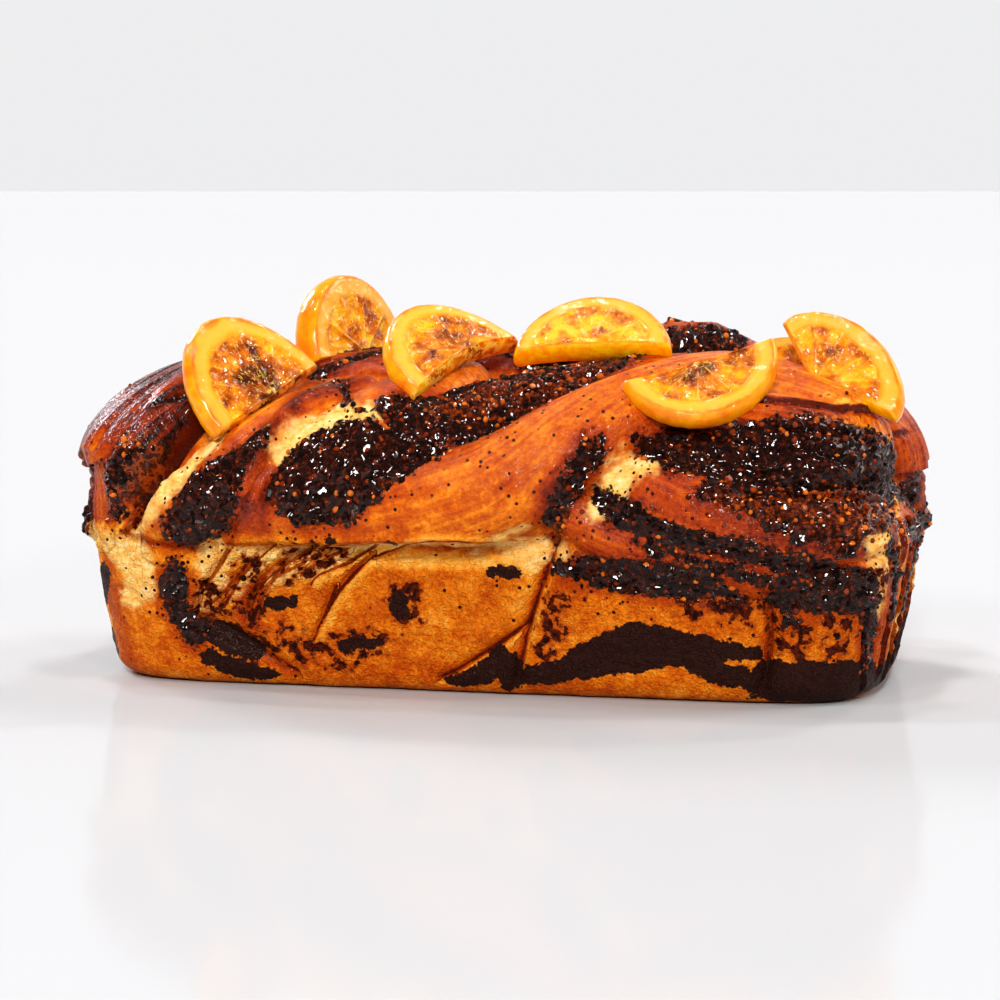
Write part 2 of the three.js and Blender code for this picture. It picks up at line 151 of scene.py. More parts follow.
CREST_STRANDS = {
    "crest_hump": (0.55, 0.5, [
        (24, 8, 91, 8, 5), (42, 12, 91, 12, 14), (56, 14, 90, 12, 15), (68, 15, 88, 9, 10),
    ]),
    "crest_ridge": (0.7, 0.5, [
        (-62, -10, 89, 9, 4), (-34, -6, 91, 13, 6), (-4, 2, 92, 13, 7), (24, 4, 92, 11, 6),
    ]),
}
WALL_BAKE = 0.45
BACK_TURN = {"shift_x": 3, "rise": 0.8, "width": 1.04, "most_bake": 0.7}
# How steeply a strand's colour wins over its neighbour's as it stands out, and the most it counts.
BAKE_STEEP = 1.5
BAKE_MOST = 30
# What sets the rolled-in lines of one strand apart from the next one's.
STRAND_SHIFT = {"along": 31.0, "across": 13.0}

# Creases between the folds of dough: places on the loaf with their half width and depth.
CREASES = [
    [(25, -56, 43, 3, 3.4), (20, -55, 30, 2.2, 2.4), (16, -52, 18, 2, 2), (13, -50, 4, 2, 1.6)],
    [(16, -52, 20, 1.8, 1.4), (6, -51, 13, 2, 1.6), (-8, -50, 4, 2, 1.4)],
    [(82, -52, 29, 2, 1.5), (82, -50, 17, 2.6, 2.6), (80, -48, 4, 2.4, 2)],
    [(-78, -52, 21, 3, 1.2), (-64, -51, 13, 3, 2), (-50, -49, 4, 3, 1.4)],
    [(-97, -51, 45, 1.6, 1.6), (-92, -50, 53, 2, 2.6), (-87, -48, 60, 2, 2.6), (-81, -43, 69, 1.6, 1.8)],
    [(65, -54, 57, 1.6, 1.2), (88, -49, 57, 2.2, 3), (99, -36, 56, 2.2, 3), (110, -15, 52, 1.8, 1.6)],
]
# The softer seams where the free crown rests on the walls.
RIM_SEAMS = [
    [(-98, -50, 41, 4, 1.4), (-80, -54, 39, 4, 1.6), (-59, -55, 41, 4, 1.2), (-38, -55, 40, 4, 1.8),
     (-17, -55, 43, 4, 1), (4, -55, 41, 4, 1.8), (23, -55, 43, 3.2, 2.6)],
]
SEAM_DEPTH = 0.9
SEAM_SHARPNESS = 3.2
# How far in mm a point without any fold or crease nearby counts as lying from one.
LAP_FAR = 9.0
# How high in mm a fold must stand before its edge gets a line of painted shade.
LAP_SHOWS = 0.7
# A lap's edge, its fall behind the edge and the undercut before it, in half widths.
LAP = {"edge": 0.25, "fall": 1.2, "under": 0.7, "under_at": -0.45, "under_spread": 0.3}
# How narrow the painted shade along a crease's groove is, and how much more painted shade a lap's undercut
# gets.
GROOVE_NARROW = 1.6
UNDERCUT_SHADE = 1.6

# Finer folds, where one layer of dough laps over the next: half width and height of the lap.
FOLDS = [
    [(-41, -55, 41, 2, 2.2), (-57, -53, 30, 2.2, 2.6), (-62, -52, 21, 1.8, 1.4)],
    [(-25, -55, 39, 1.5, 1.2), (-35, -53, 29, 1.6, 1.5), (-44, -51, 14, 1.4, 0.9)],
    [(-53, -55, 41, 1.8, 1.6), (-62, -54, 33, 1.8, 1.9), (-69, -52, 23, 1.6, 1.2)],
    [(-66, -54, 39, 1.8, 1.8), (-74, -53, 28, 1.9, 2), (-78, -51, 19, 1.6, 1.1)],
    [(-37, -53, 29, 1.2, 1.1), (-43, -51, 16, 1.2, 0.8)],
    [(-26, -54, 38, 1.3, 1), (-7, -56, 45, 1.4, 1.2), (14, -55, 43, 1.4, 1.1)],
    [(112, -20, 47, 1.6, 1.8), (114, -28, 35, 1.6, 1.8), (111, -28, 21, 1.6, 1.6),
     (109, -29, 8, 1.3, 1.1)],
    [(114, -2, 45, 1.6, 1.8), (114, -13, 30, 1.6, 1.8), (112, -17, 18, 1.6, 1.6),
     (109, -20, 5, 1.3, 1.1)],
    [(49, -56, 52, 1.5, 1.3), (66, -56, 47, 1.6, 1.6), (88, -54, 41, 1.6, 1.6),
     (109, -43, 37, 1.4, 1.2)],
    [(-99, -51, 42, 1.8, 2), (-94, -51, 50, 2.4, 3), (-89, -49, 56, 2.6, 3.2), (-79, -42, 71, 2.2, 2.4)],
    [(-81, -39, 73, 1.6, 1.2), (-88, -42, 68, 1.8, 1.8), (-94, -45, 59, 1.8, 2),
     (-102, -46, 49, 1.4, 1)],
    [(-68, -54, 38, 1.2, 1), (-74, -53, 29, 1.3, 1.5), (-78, -51, 19, 1.1, 0.8)],
    [(-61, -54, 36, 1.2, 1), (-67, -53, 29, 1.3, 1.3), (-73, -52, 23, 1.1, 0.8)],
    [(-45, -54, 36, 1.2, 0.8), (-53, -54, 32, 1.2, 1.1), (-57, -53, 27, 1.2, 1), (-60, -51, 16, 1, 0.6)],
    [(-24, -55, 42, 1.1, 0.8), (-33, -54, 36, 1.2, 1), (-42, -54, 32, 1.2, 1), (-45, -53, 28, 1, 0.6)],
    [(-33, -55, 40, 1.1, 0.8), (-41, -54, 36, 1.2, 0.9), (-50, -53, 30, 1, 0.6)],
    [(0, -51, 13, 0.9, 0.3), (-7, -51, 14, 0.9, 0.4), (-13, -51, 16, 0.9, 0.4),
     (-32, -51, 16, 0.9, 0.3)],
    [(-42, -51, 14, 0.9, 0.4), (-35, -50, 8, 0.9, 0.4), (-31, -48, 3, 0.9, 0.3)],
    [(7, -54, 34, 0.9, 0.3), (-7, -54, 34, 0.9, 0.4), (-22, -54, 33, 0.9, 0.3)],
    [(47, -45, 73, 1.2, 0.8), (67, -45, 71, 1.4, 1.2), (87, -41, 69, 1.4, 1.2),
     (103, -27, 66, 1.2, 0.8)],
    [(61, -38, 77, 1.2, 0.8), (81, -37, 74, 1.4, 1.2), (98, -26, 72, 1.4, 1.2), (105, 18, 66, 1.2, 0.8)],
    [(107, -42, 25, 1.2, 1), (106, -40, 15, 1.2, 1), (105, -36, 4, 1, 0.8)],
    [(115, 8, 42, 1.6, 1.4), (114, -2, 26, 2, 1.8), (111, -8, 8, 1.6, 1.2)],
    [(115, 34, 42, 1.6, 1.4), (114, 22, 28, 2, 1.8), (111, 4, 10, 1.6, 1.2)],
    [(113, 46, 38, 1.4, 1.2), (112, 38, 22, 1.6, 1.4), (109, 30, 6, 1.4, 1)],
    [(65, -55, 56, 1.6, 2), (79, -53, 56, 2, 2.8), (98, -45, 55, 2, 2.8), (110, -14, 51, 1.6, 2)],
]
# Thin ridges of dough that stand up between two folds: half width and height.
RIDGES = [
    [(-62, -55, 45, 1.8, 1.2), (-59, -56, 54, 2.2, 2.6), (-55, -53, 62, 2.2, 2.8),
     (-50, -47, 71, 2, 2.4), (-42, -38, 77, 2, 1)],
    [(-83, -31, 77, 2, 1), (-88, -43, 67, 2.4, 2), (-94, -48, 55, 2.4, 2.4), (-101, -50, 45, 2, 1)],
    [(-68, -55, 41, 1.8, 1), (-36, -56, 43, 1.8, 1.6), (-8, -56, 45, 1.8, 1.4), (20, -56, 44, 1.8, 1)],
]
# ---- Painted zones: places on the loaf with the half width of the zone there ----

SEEDED = [
    [(-90, -46, 61, 1.2), (-95, -48, 53, 1.8), (-100, -49, 46, 1.6)],
    [(-55, -51, 66, 2.3), (-60, -53, 61, 4), (-65, -55, 56, 5.4), (-71, -55, 50, 7),
     (-79, -55, 44, 5.2)],
    [(-50, -56, 56, 2.9), (-43, -56, 57, 8.6), (-33, -55, 59, 10.9), (-25, -54, 62, 8.6),
     (-5, -53, 65, 1.4)],
    [(-23, -46, 72, 3.4), (-13, -47, 71, 7.2), (0, -44, 73, 10), (12, -39, 77, 9.2),
     (25, -32, 80, 6.9), (36, -21, 84, 3.7), (47, 1, 86, 2)],
    [(52, -6, 85, 1.2), (58, -1, 85, 1.6), (65, 8, 84, 1.4)],
    [(-51, -18, 84, 1.7), (-35, -9, 86, 1.7)],
    [(-54, -18, 84, 0.9), (-42, -33, 80, 1.1), (-37, -38, 77, 0.9), (-33, -46, 72, 1.1),
     (-29, -48, 70, 0.9)],
    [(65, -55, 56, 1.2), (76, -54, 54, 3), (89, -53, 51, 5.7), (100, -49, 48, 6), (109, -33, 49, 4)],
    # Filling along the groove under the dark band, partly painted shade for the groove's depth.
    [(65, -54, 57, 1.4), (88, -49, 57, 2), (110, -15, 52, 1.6)],
    [(47, -56, 46, 1.2), (60, -55, 41, 1.6), (75, -54, 37, 1.6), (91, -52, 34, 1.6),
     (102, -48, 32, 1.8)],
    [(111, -39, 43, 1.7), (113, -29, 33, 2), (111, -28, 21, 1.4)],
    [(115, 40, 43, 3), (115, 20, 40, 4), (115, 0, 43, 3.5), (115, -14, 44, 2.5)],
    [(115, 10, 38, 3), (114, -4, 26, 3), (112, -8, 16, 1.6)],
    [(48, -50, 67, 2.3), (59, -51, 66, 5.7), (70, -50, 64, 8), (85, -46, 64, 8.6), (99, -38, 63, 8.6),
     (107, -16, 59, 6.9), (111, 20, 50, 3.4)],
    [(37, -56, 56, 2.3), (44, -56, 52, 4), (56, -56, 48, 3.4), (70, -55, 45, 3.2), (86, -54, 41, 2.9),
     (100, -50, 36, 3.4), (106, -46, 33, 4)],
    [(25, -54, 36, 2.3), (37, -54, 36, 4.6), (50, -54, 35, 5.7), (65, -54, 34, 4.9), (74, -53, 30, 2.3)],
    [(37, -52, 65, 2.3), (33, -54, 61, 2.3), (29, -56, 56, 2.3), (25, -56, 49, 2.3)],
    [(84, -53, 30, 2.9), (90, -52, 30, 4), (98, -50, 30, 4), (105, -46, 29, 3.4)],
    [(107, -43, 28, 3.2), (108, -38, 18, 3.2), (107, -38, 11, 2.3)],
    [(87, -51, 24, 2.3), (87, -51, 24, 2.3)],
    [(-83, -53, 33, 2.3), (-84, -52, 27, 4), (-83, -51, 20, 3.4), (-79, -51, 15, 4)],
    [(-60, -8, 87, 3), (-36, 2, 88, 5), (-8, 0, 88, 5), (16, -8, 88, 4)],
]
AMBER_SEEDED = [
    [(66, -55, 55, 1.7), (79, -54, 53, 3.4), (93, -51, 51, 5.2), (104, -45, 48, 6.3), (112, -20, 48, 4)],
    [(31, -56, 49, 5.2), (31, -56, 49, 5.2)],
    [(-8, -46, 72, 2.6), (2, -43, 74, 6), (18, -38, 78, 6), (32, -28, 82, 3.4)],
]
FLAT_CHOCOLATE = [
    [(13, -50, 5, 2.3), (25, -50, 8, 3.4), (36, -51, 12, 5.6), (46, -51, 15, 7), (59, -51, 15.5, 5),
     (69, -51, 15, 3), (79, -51, 14, 1.6)],
    [(60, -51, 11, 1.7), (66, -50, 9, 3.4), (75, -50, 8, 3.2), (77, -49, 5, 1.7)],
    [(-6, -48, 3, 1.1), (2, -50, 5, 2.9), (10, -50, 10, 4), (11, -49, 4, 3.4)],
    [(-76, -51, 16, 2.9), (-68, -51, 13, 4), (-61, -50, 10, 2.9)],
    [(-75, -50, 8, 2.3), (-66, -50, 5, 2.9), (-56, -48, 3, 1.7)],
    [(82, -50, 6, 6.5), (95, -47, 6, 7), (106, -38, 6, 7)],
    [(108, -42, 27, 1.4), (107, -38, 15, 2), (106, -36, 4, 2)],
    [(109, -30, 5, 4), (110, -10, 6, 6), (110, 14, 9, 8), (110, 34, 8, 5)],
    [(112, 26, 22, 3), (112, 38, 26, 5), (112, 46, 30, 3)],
    [(-19, -53, 26, 2.4), (-19, -53, 23, 2.2)],
    [(7, -54, 35, 1.4), (14, -54, 35, 1.4)],
    [(-35, -51, 13, 2), (-24, -51, 14, 1.1)],
    [(-55, -52, 24, 2.3), (-50, -53, 25, 1.7)],
    [(-36, -55, 44, 1.1), (-35, -55, 44, 1.1)],
    [(-19, -55, 44, 1.1), (-18, -55, 44, 1.1)],
]
TORN = [
    [(105, -43, 49, 2.4), (107, -45, 44, 4), (110, -40, 39, 2.4)],
    [(106, -46, 35, 3), (109, -42, 32, 3.6), (110, -37, 26, 2.4)],
    [(1, -54, 39, 0.8), (11, -55, 45, 1.8), (18, -56, 49, 1)],
    [(-103, -49, 38, 4), (-96, -51, 35, 6.3), (-94, -51, 28, 5.4), (-99, -49, 24, 3.4)],
    [(-69, -50, 65, 2), (-76, -51, 60, 4), (-82, -52, 55, 4.3), (-88, -53, 50, 3.4),
     (-95, -52, 44, 2.6)],
    [(-49, -53, 63, 3.4), (-45, -51, 66, 5.2), (-37, -49, 69, 5.2), (-29, -48, 70, 3.4),
     (-24, -48, 70, 1.7)],
    [(-72, -54, 38, 4), (-72, -53, 30, 3.8), (-76, -52, 23, 2.4)],
    [(-58, -54, 38, 1.4), (-62, -53, 31, 1.6), (-66, -53, 26, 1.2)],
    [(-44, -55, 39, 1.6), (-50, -54, 34, 1.8), (-55, -53, 30, 1.2)],
    [(-30, -55, 41, 1.8), (-38, -54, 36, 2), (-44, -54, 33, 1.2)],
    [(-66, -54, 39, 0.9), (-38, -55, 40, 0.9), (-8, -55, 44, 0.9), (22, -55, 40, 1.4)],
    [(51, -53, 63, 2.3), (45, -54, 62, 4), (41, -55, 58, 4), (37, -56, 53, 2.9)],
    [(108, -42, 46, 4), (110, -42, 39, 5)],
    [(113, -30, 44, 3), (114, -30, 34, 2.5)],
    [(108, -43, 32, 4), (108, -43, 32, 4)],
    [(13, -55, 41, 3), (19, -55, 40, 4)],
    [(26, -55, 40, 2.6), (26, -55, 40, 2.6)],
    [(115, -6, 34, 2), (113, -14, 20, 3), (111, -16, 12, 2)],
    [(115, 48, 40, 3), (115, 30, 34, 3.4), (114, 18, 24, 2.4)],
]
# Where the filling only stains the dough in scattered spots.
SMUDGED = [
    [(-62, -54, 34, 2.9), (-62, -53, 25, 4), (-61, -51, 16, 4), (-59, -50, 9, 2.9)],
    [(-48, -54, 35, 2.6), (-38, -55, 39, 2.3)],
    [(-74, -52, 25, 2.9), (-70, -51, 16, 2.9)],
    [(-38, -51, 11, 3.2), (-25, -51, 14, 2.3)],
    [(-53, -51, 14, 3.4), (-42, -50, 10, 2.3)],
    [(86, -52, 27, 4), (98, -48, 20, 5.2), (88, -51, 19, 4)],
    [(61, -53, 28, 2.3), (76, -53, 28, 2.3)],
    [(92, -50, 53, 2.3), (109, -32, 49, 2.3)],
    [(106, -45, 32, 2.3), (113, -33, 39, 2.3)],
    [(22, -51, 13, 2), (26, -53, 27, 2)],
    [(-18, -53, 27, 3.2), (-18, -52, 24, 3.2)],
    [(-90, -47, 59, 2.9), (-99, -49, 49, 2.3)],
    [(46, 2, 86, 2.6), (56, 6, 86, 3), (62, 10, 85, 2)],
    [(113, -10, 28, 5), (112, 14, 20, 5)],
]
# Where the crust is browner or paler than its strand, painted highlight and painted shade among them: a
# zone, and how much it adds to the bake.
BAKE_SHIFTS_AND_PAINTED_LIGHT = [
    ([(-90, -47, 52, 4), (-84, -44, 64, 4)], 0.22),
    # Paler crust at the top of the right end, partly a painted highlight.
    ([(104, -34, 66, 9), (113, -15, 58, 9)], -0.26),
    ([(-102, -42, 56, 8), (-104, -48, 44, 6)], -0.24),
    ([(-48, -44, 74, 4), (-38, -30, 81, 5), (-22, -39, 77, 4)], 0.22),
    ([(33, -52, 65, 1.8), (30, -55, 60, 2.4), (26, -56, 55, 2.4)], 0.2),
    # Painted shade in the groove along the dome's edge.
    ([(-79, -40, 72, 2.5), (-88, -44, 65, 3), (-94, -47, 57, 3), (-101, -48, 48, 2.5)], 0.2),
    ([(109, -30, 35, 7), (107, -30, 12, 7)], 0.12),
    ([(-62, -53, 29, 3.5), (-62, -52, 20, 4)], 0.22),
    ([(-105, -44, 23, 5), (-102, -43, 6, 5)], 0.12),
    ([(-52, -55, 57, 2.4), (-57, -56, 48, 3.2)], 0.26),
    ([(48, -4, 86, 3), (60, 6, 86, 4)], 0.1),
    ([(-62, -55, 46, 1.6), (-55, -52, 63, 1.6), (-50, -46, 71, 1.6), (-42, -37, 78, 1.6)], 0.25),
    ([(65, -56, 53, 2.9), (85, -54, 47, 3), (104, -49, 42, 2.9)], 0.05),
    ([(-86, -54, 38, 4), (-60, -54, 36, 5), (-44, -54, 34, 3)], -0.2),
    ([(-60, -55, 41, 2.5), (-20, -55, 39, 3), (22, -55, 38, 4)], -0.2),
    ([(18, -54, 30, 2.5), (14, -52, 16, 2.5)], -0.12),
    ([(-60, -50, 5, 3), (-20, -50, 5, 3), (40, -50, 4, 3)], 0.06),
]
ZONES = {
    "seeded": SEEDED,
    "amber": AMBER_SEEDED,
    "flat": FLAT_CHOCOLATE,
    "torn": TORN,
    "smudged": SMUDGED,
}
# How far in mm the zones' edges wander, over what length, and how much of that the flat ones do.
WANDER = {"far": 0.9, "size": 7, "flat_share": 0.5}

# The fine relief: heights in mm.
RIBS = {"fine": 0.42, "broad": 0.8}
FILLING = {"sunk": 0.8, "lumps": 1.3, "clots": 1.1, "folds": 1.9, "folds_from": 0.3, "swells": 0.6}
TORN_DOUGH = {"sunk": 0.4, "fibres": 0.9}
WALL_DOUGH = {"broad": 0.3, "fine": 0.12}


# ---- Noise ----


class Noise:
    """Smooth noise in space, about -1 to 1, the same in every run."""

    CELLS = 256
    GAIN = 1.6

    def __init__(self, seed):
        draw = np.random.default_rng(seed)
        self.order = draw.permutation(self.CELLS)
        slopes = draw.normal(size=(self.CELLS, 3))
        self.slopes = slopes / np.linalg.norm(slopes, axis=1, keepdims=True)

    def __call__(self, places):
        cell = np.floor(places).astype(np.int64)
        part = places - cell
        ease = part**3 * (part * (part * 6 - 15) + 10)
        total = np.zeros(len(places))
        for step in np.ndindex(2, 2, 2):
            at = (cell + step) & (self.CELLS - 1)
            key = self.order[at[:, 0]]
            key = self.order[(key + at[:, 1]) & (self.CELLS - 1)]
            key = self.order[(key + at[:, 2]) & (self.CELLS - 1)]
            reach = np.sum(self.slopes[key] * (part - step), axis=1)
            share = np.where(step, ease, 1 - ease)
            total += reach * share[:, 0] * share[:, 1] * share[:, 2]
        return total * self.GAIN


NOISE = Noise(11)
OCTAVE_FINER = 2.03
OCTAVE_SHIFT = 17.3


def rough(places, size, shift=0.0, octaves=2):
    """Noise with features of about the given size in mm (or sizes along x, y and z)."""
    total = 0
    weight = 1.0
    at = places / np.asarray(size, float) + shift
    for _ in range(octaves):
        total = total + weight * NOISE(at)
        at = at * OCTAVE_FINER + OCTAVE_SHIFT
        weight *= 0.5
    return total


# ---- The loaf's shape ----


def smooth(x, low, high):
    """0 up to low, 1 from high on, and a soft step between the two."""
    share = np.clip((x - low) / (high - low), 0, 1)
    return share * share * (3 - 2 * share)


def between(low, high, share):
    return low + (high - low) * share


def level_cut(z):
    """Half the length and half the width of the plain loaf at height z."""
    up = np.clip(z / TIN_RIM["height"], 0, 1)
    swell = np.clip((z - TIN_RIM["height"]) / CROWN["swell_span"], 0, 1)
    radius = TIN_FOOT["edge_radius"]
    below = np.maximum(radius - z, 0)
    edge = radius - np.sqrt(np.maximum(radius**2 - below**2, 0))
    made = []
    for side, extent, dome in (("end", "half_length", END_DOME), ("side", "half_width", SIDE_DOME)):
        shoulder = CROWN[side + "_shoulder"]
        past = np.clip((z - shoulder) / (CROWN["height"] - shoulder), 0, 1)
        closing = (1 - ALMOST_CLOSED * past ** dome["power"]) ** dome["root"]
        wall = between(TIN_FOOT[extent], TIN_RIM[extent], up)
        made.append((wall + CROWN[side + "_swell"] * swell - edge) * closing)
    return made


def inside(places):
    """Whether each place lies inside the plain loaf."""
    z = places[:, 2]
    length, width = level_cut(z)
    free = smooth(z, CORNER["from"], CORNER["to"])
    ends = between(CORNER["wall_ends"], CORNER["crown"], free)
    outline = (np.abs(places[:, 0]) / length) ** ends
    outline += (np.abs(places[:, 1]) / width) ** CORNER["wall_sides"]
    return (z >= 0) & (z < CROWN["height"]) & (outline < 1)


def on_surface(places):
    """Each place moved onto the plain loaf's surface, along a ray from the spine inside it."""
    places = np.atleast_2d(np.asarray(places, float))
    start = places.copy()
    start[:, 0] = np.clip(places[:, 0], -SPINE["half_length"], SPINE["half_length"])
    start[:, 1] = 0
    start[:, 2] = np.clip(places[:, 2], 0, SPINE["height"])
    way = places - start
    way /= np.linalg.norm(way, axis=1, keepdims=True)
    near = np.zeros(len(places))
    far = np.full(len(places), float(REACH))
    for _ in range(HALVINGS):
        middle = (near + far) / 2
        within = inside(start + way * middle[:, None])
        near = np.where(within, middle, near)
        far = np.where(within, far, middle)
    return start + way * near[:, None]


def curve_points(points, steps):
    """Points along a centripetal Catmull-Rom curve."""
    points = np.asarray(points, float)
    made = []
    for n in range(steps + 1):
        at = (len(points) - 1) * n / steps
        first = min(int(at), len(points) - 2)
        share = at - first
        p1, p2 = points[first], points[first + 1]
        p0 = points[first - 1] if first else 2 * p1 - p2
        p3 = points[first + 2] if first + 2 < len(points) else 2 * p2 - p1
        pairs = ((p0, p1), (p1, p2), (p2, p3))
        d0, d1, d2 = (max(float((b - a) @ (b - a)) ** 0.25, 1e-4) for a, b in pairs)
        t1 = ((p1 - p0) / d0 - (p2 - p0) / (d0 + d1) + (p2 - p1) / d1) * d1
        t2 = ((p2 - p1) / d1 - (p3 - p1) / (d1 + d2) + (p3 - p2) / d2) * d1
        c2 = 3 * (p2 - p1) - 2 * t1 - t2
        c3 = 2 * (p1 - p2) + t1 + t2
        made.append(p1 + t1 * share + c2 * share**2 + c3 * share**3)
    return np.array(made)


def sampled(route):
    """A route as short straight pieces on the loaf, each end with its half width and height."""
    route = np.array(route, float)
    line = on_surface(curve_points(route[:, :3], ROUTE_STEPS))
    at = np.linspace(0, len(route) - 1, ROUTE_STEPS + 1)
    whole = np.arange(len(route))
    return line, np.interp(at, whole, route[:, 3]), np.interp(at, whole, route[:, 4])


def turned(route):
    """The same route on the back of the loaf, turned half round about the upright axis."""
    scales = (BACK_TURN["width"], BACK_TURN["rise"])
    made = []
    for x, y, z, *rest in route:
        made.append((BACK_TURN["shift_x"] - x, -y, z, *(a * b for a, b in zip(rest, scales))))
    return made


def both_sides(strokes):
    return list(strokes) + [turned(stroke) for stroke in strokes]


def beside(start, end, places):
    """A straight piece's length, and for each place how far along it, which way and how far off."""
    way = end - start
    length = max(float(np.linalg.norm(way)), TINY)
    offset = places - start
    share = np.clip(offset @ way / length**2, 0, 1)
    away = offset - share[:, None] * way
    return length, share, away, np.sqrt(np.einsum("ij,ij->i", away, away))


def follow(route, places):
    """For each place: its half widths from the route, the height there, and mm along and across."""
    line, widths, heights = sampled(route)
    reach = NEAR * widths.max()
    above = places > line.min(axis=0) - reach
    close = np.all(above & (places < line.max(axis=0) + reach), axis=1)
    found = np.zeros((4, len(places)))
    found[0] = np.inf
    found[:, close] = follow_close(line, widths, heights, places[close])
    return found


def follow_close(line, widths, heights, places):
    best = np.full(len(places), np.inf)
    height, along, across = np.zeros((3, len(places)))
    run = 0.0
    for n in range(len(line) - 1):
        length, share, away, distance = beside(line[n], line[n + 1], places)
        relative = distance / between(widths[n], widths[n + 1], share)
        better = relative < best
        best = np.where(better, relative, best)
        height = np.where(better, between(heights[n], heights[n + 1], share), height)
        along = np.where(better, run + share * length, along)
        side = np.sign(np.cross(line[n + 1] - line[n], away) @ line[n])
        across = np.where(better, side * distance, across)
        run += length
    return best, height, along, across


def zone_distance(strokes, places):
    """Signed distance in mm from the nearest zone's edge, below 0 within it."""
    nearest = np.full(len(places), FAR)
    for stroke in both_sides(strokes):
        points = np.array(stroke, float)
        line = on_surface(points[:, :3])
        for n in range(len(line) - 1):
            _, share, _, distance = beside(line[n], line[n + 1], places)
            width = between(points[n, 3], points[n + 1, 3], share)
            nearest = np.minimum(nearest, distance - width)
    return nearest


def free_of_tin(places):
    """0 on the tin's walls, 1 above its rim."""
    side = np.clip(-places[:, 1] / RIM_FADE["end_blend"], -1, 1)
    twist = smooth(places[:, 0] * side, RIM_FADE["twist_from"], RIM_FADE["twist_to"])
    below = between(RIM_FADE["below"], RIM_FADE["below_at_twist"], twist)
    return smooth(places[:, 2], TIN_RIM["height"] - below, TIN_RIM["height"] + RIM_FADE["above"])


def crust_lattice():
    """Places on a box of cells without its foot, and the squares between them, facing out."""
    nx, ny, nz = CRUST_CELLS
    index = -np.ones((nx + 1, ny + 1, nz + 1), np.int64)
    i, j, k = np.meshgrid(np.arange(nx + 1), np.arange(ny + 1), np.arange(nz + 1), indexing="ij")
    outer = (i == 0) | (i == nx) | (j == 0) | (j == ny) | (k == nz)
    index[outer] = np.arange(outer.sum())
    places = np.stack([2 * i[outer] / nx - 1, 2 * j[outer] / ny - 1, k[outer] / nz], axis=1)

    def squares(sheet, flip):
        a, b, c, d = sheet[:-1, :-1], sheet[1:, :-1], sheet[1:, 1:], sheet[:-1, 1:]
        corners = (a, d, c, b) if flip else (a, b, c, d)
        return np.stack([corner.ravel() for corner in corners], axis=1)

    faces = [
        squares(index[:, :, nz], False),
        squares(index[:, 0, :], False),
        squares(index[:, ny, :], True),
        squares(index[0, :, :], True),
        squares(index[nx, :, :], False),
    ]
    bottom = index[:, :, 0]
    foot = [bottom[:nx, 0], bottom[nx, :ny], bottom[nx:0:-1, ny], bottom[0, ny:0:-1]]
    return places * CELL_BOX, np.concatenate(faces), np.concatenate(foot)


def normals_of(points, faces):
    """The outward direction at each point."""
    a, b, c, d = (points[faces[:, n]] for n in range(4))
    face_normals = np.cross(c - a, d - b)
    made = np.zeros_like(points)
    for n in range(4):
        for axis in range(3):
            made[:, axis] += np.bincount(faces[:, n], face_normals[:, axis], len(points))
    return made / np.maximum(np.linalg.norm(made, axis=1, keepdims=True), 1e-9)


def lay_strands(plain):
    """At each place: the strands' height, their bake and lines, and how far along and across."""
    height, top_rise, ribbed = np.zeros((3, len(plain)))
    along, across = plain[:, 0].copy(), plain[:, 2].copy()
    bake_sum = np.full(len(plain), WALL_BAKE)
    bake_weight = np.ones(len(plain))
    front = list(FRONT_STRANDS.values())
    back = [(min(bake, BACK_TURN["most_bake"]), ribs, turned(route)) for bake, ribs, route in front]
    for number, (bake, ribs, route) in enumerate([*front, *CREST_STRANDS.values(), *back]):
        share, tall, run, aside = follow(route, plain)
        arch = np.sqrt(np.maximum(1 - np.minimum(share, 1) ** STRAND_POWER, 0))
        rise = np.where(share < 1, tall * arch, 0)
        closeness = np.maximum(1 - np.abs(rise - height) / STRAND_BLEND, 0)
        both = np.minimum(rise, height) > 0
        fill = np.where(both, VALLEY_FILL * STRAND_BLEND * closeness**2, 0)
        height = np.maximum(height, rise) + fill
        higher = rise > top_rise
        top_rise = np.where(higher, rise, top_rise)
        along = np.where(higher, run + STRAND_SHIFT["along"] * number, along)
        across = np.where(higher, aside + STRAND_SHIFT["across"] * number, across)
        ribbed = np.where(higher, ribs, ribbed)
        weight = np.where(rise > 0, np.exp(np.minimum(rise * BAKE_STEEP, BAKE_MOST)) - 1, 0)
        bake_sum += bake * weight
        bake_weight += weight
    return height, bake_sum / bake_weight, ribbed, along, across


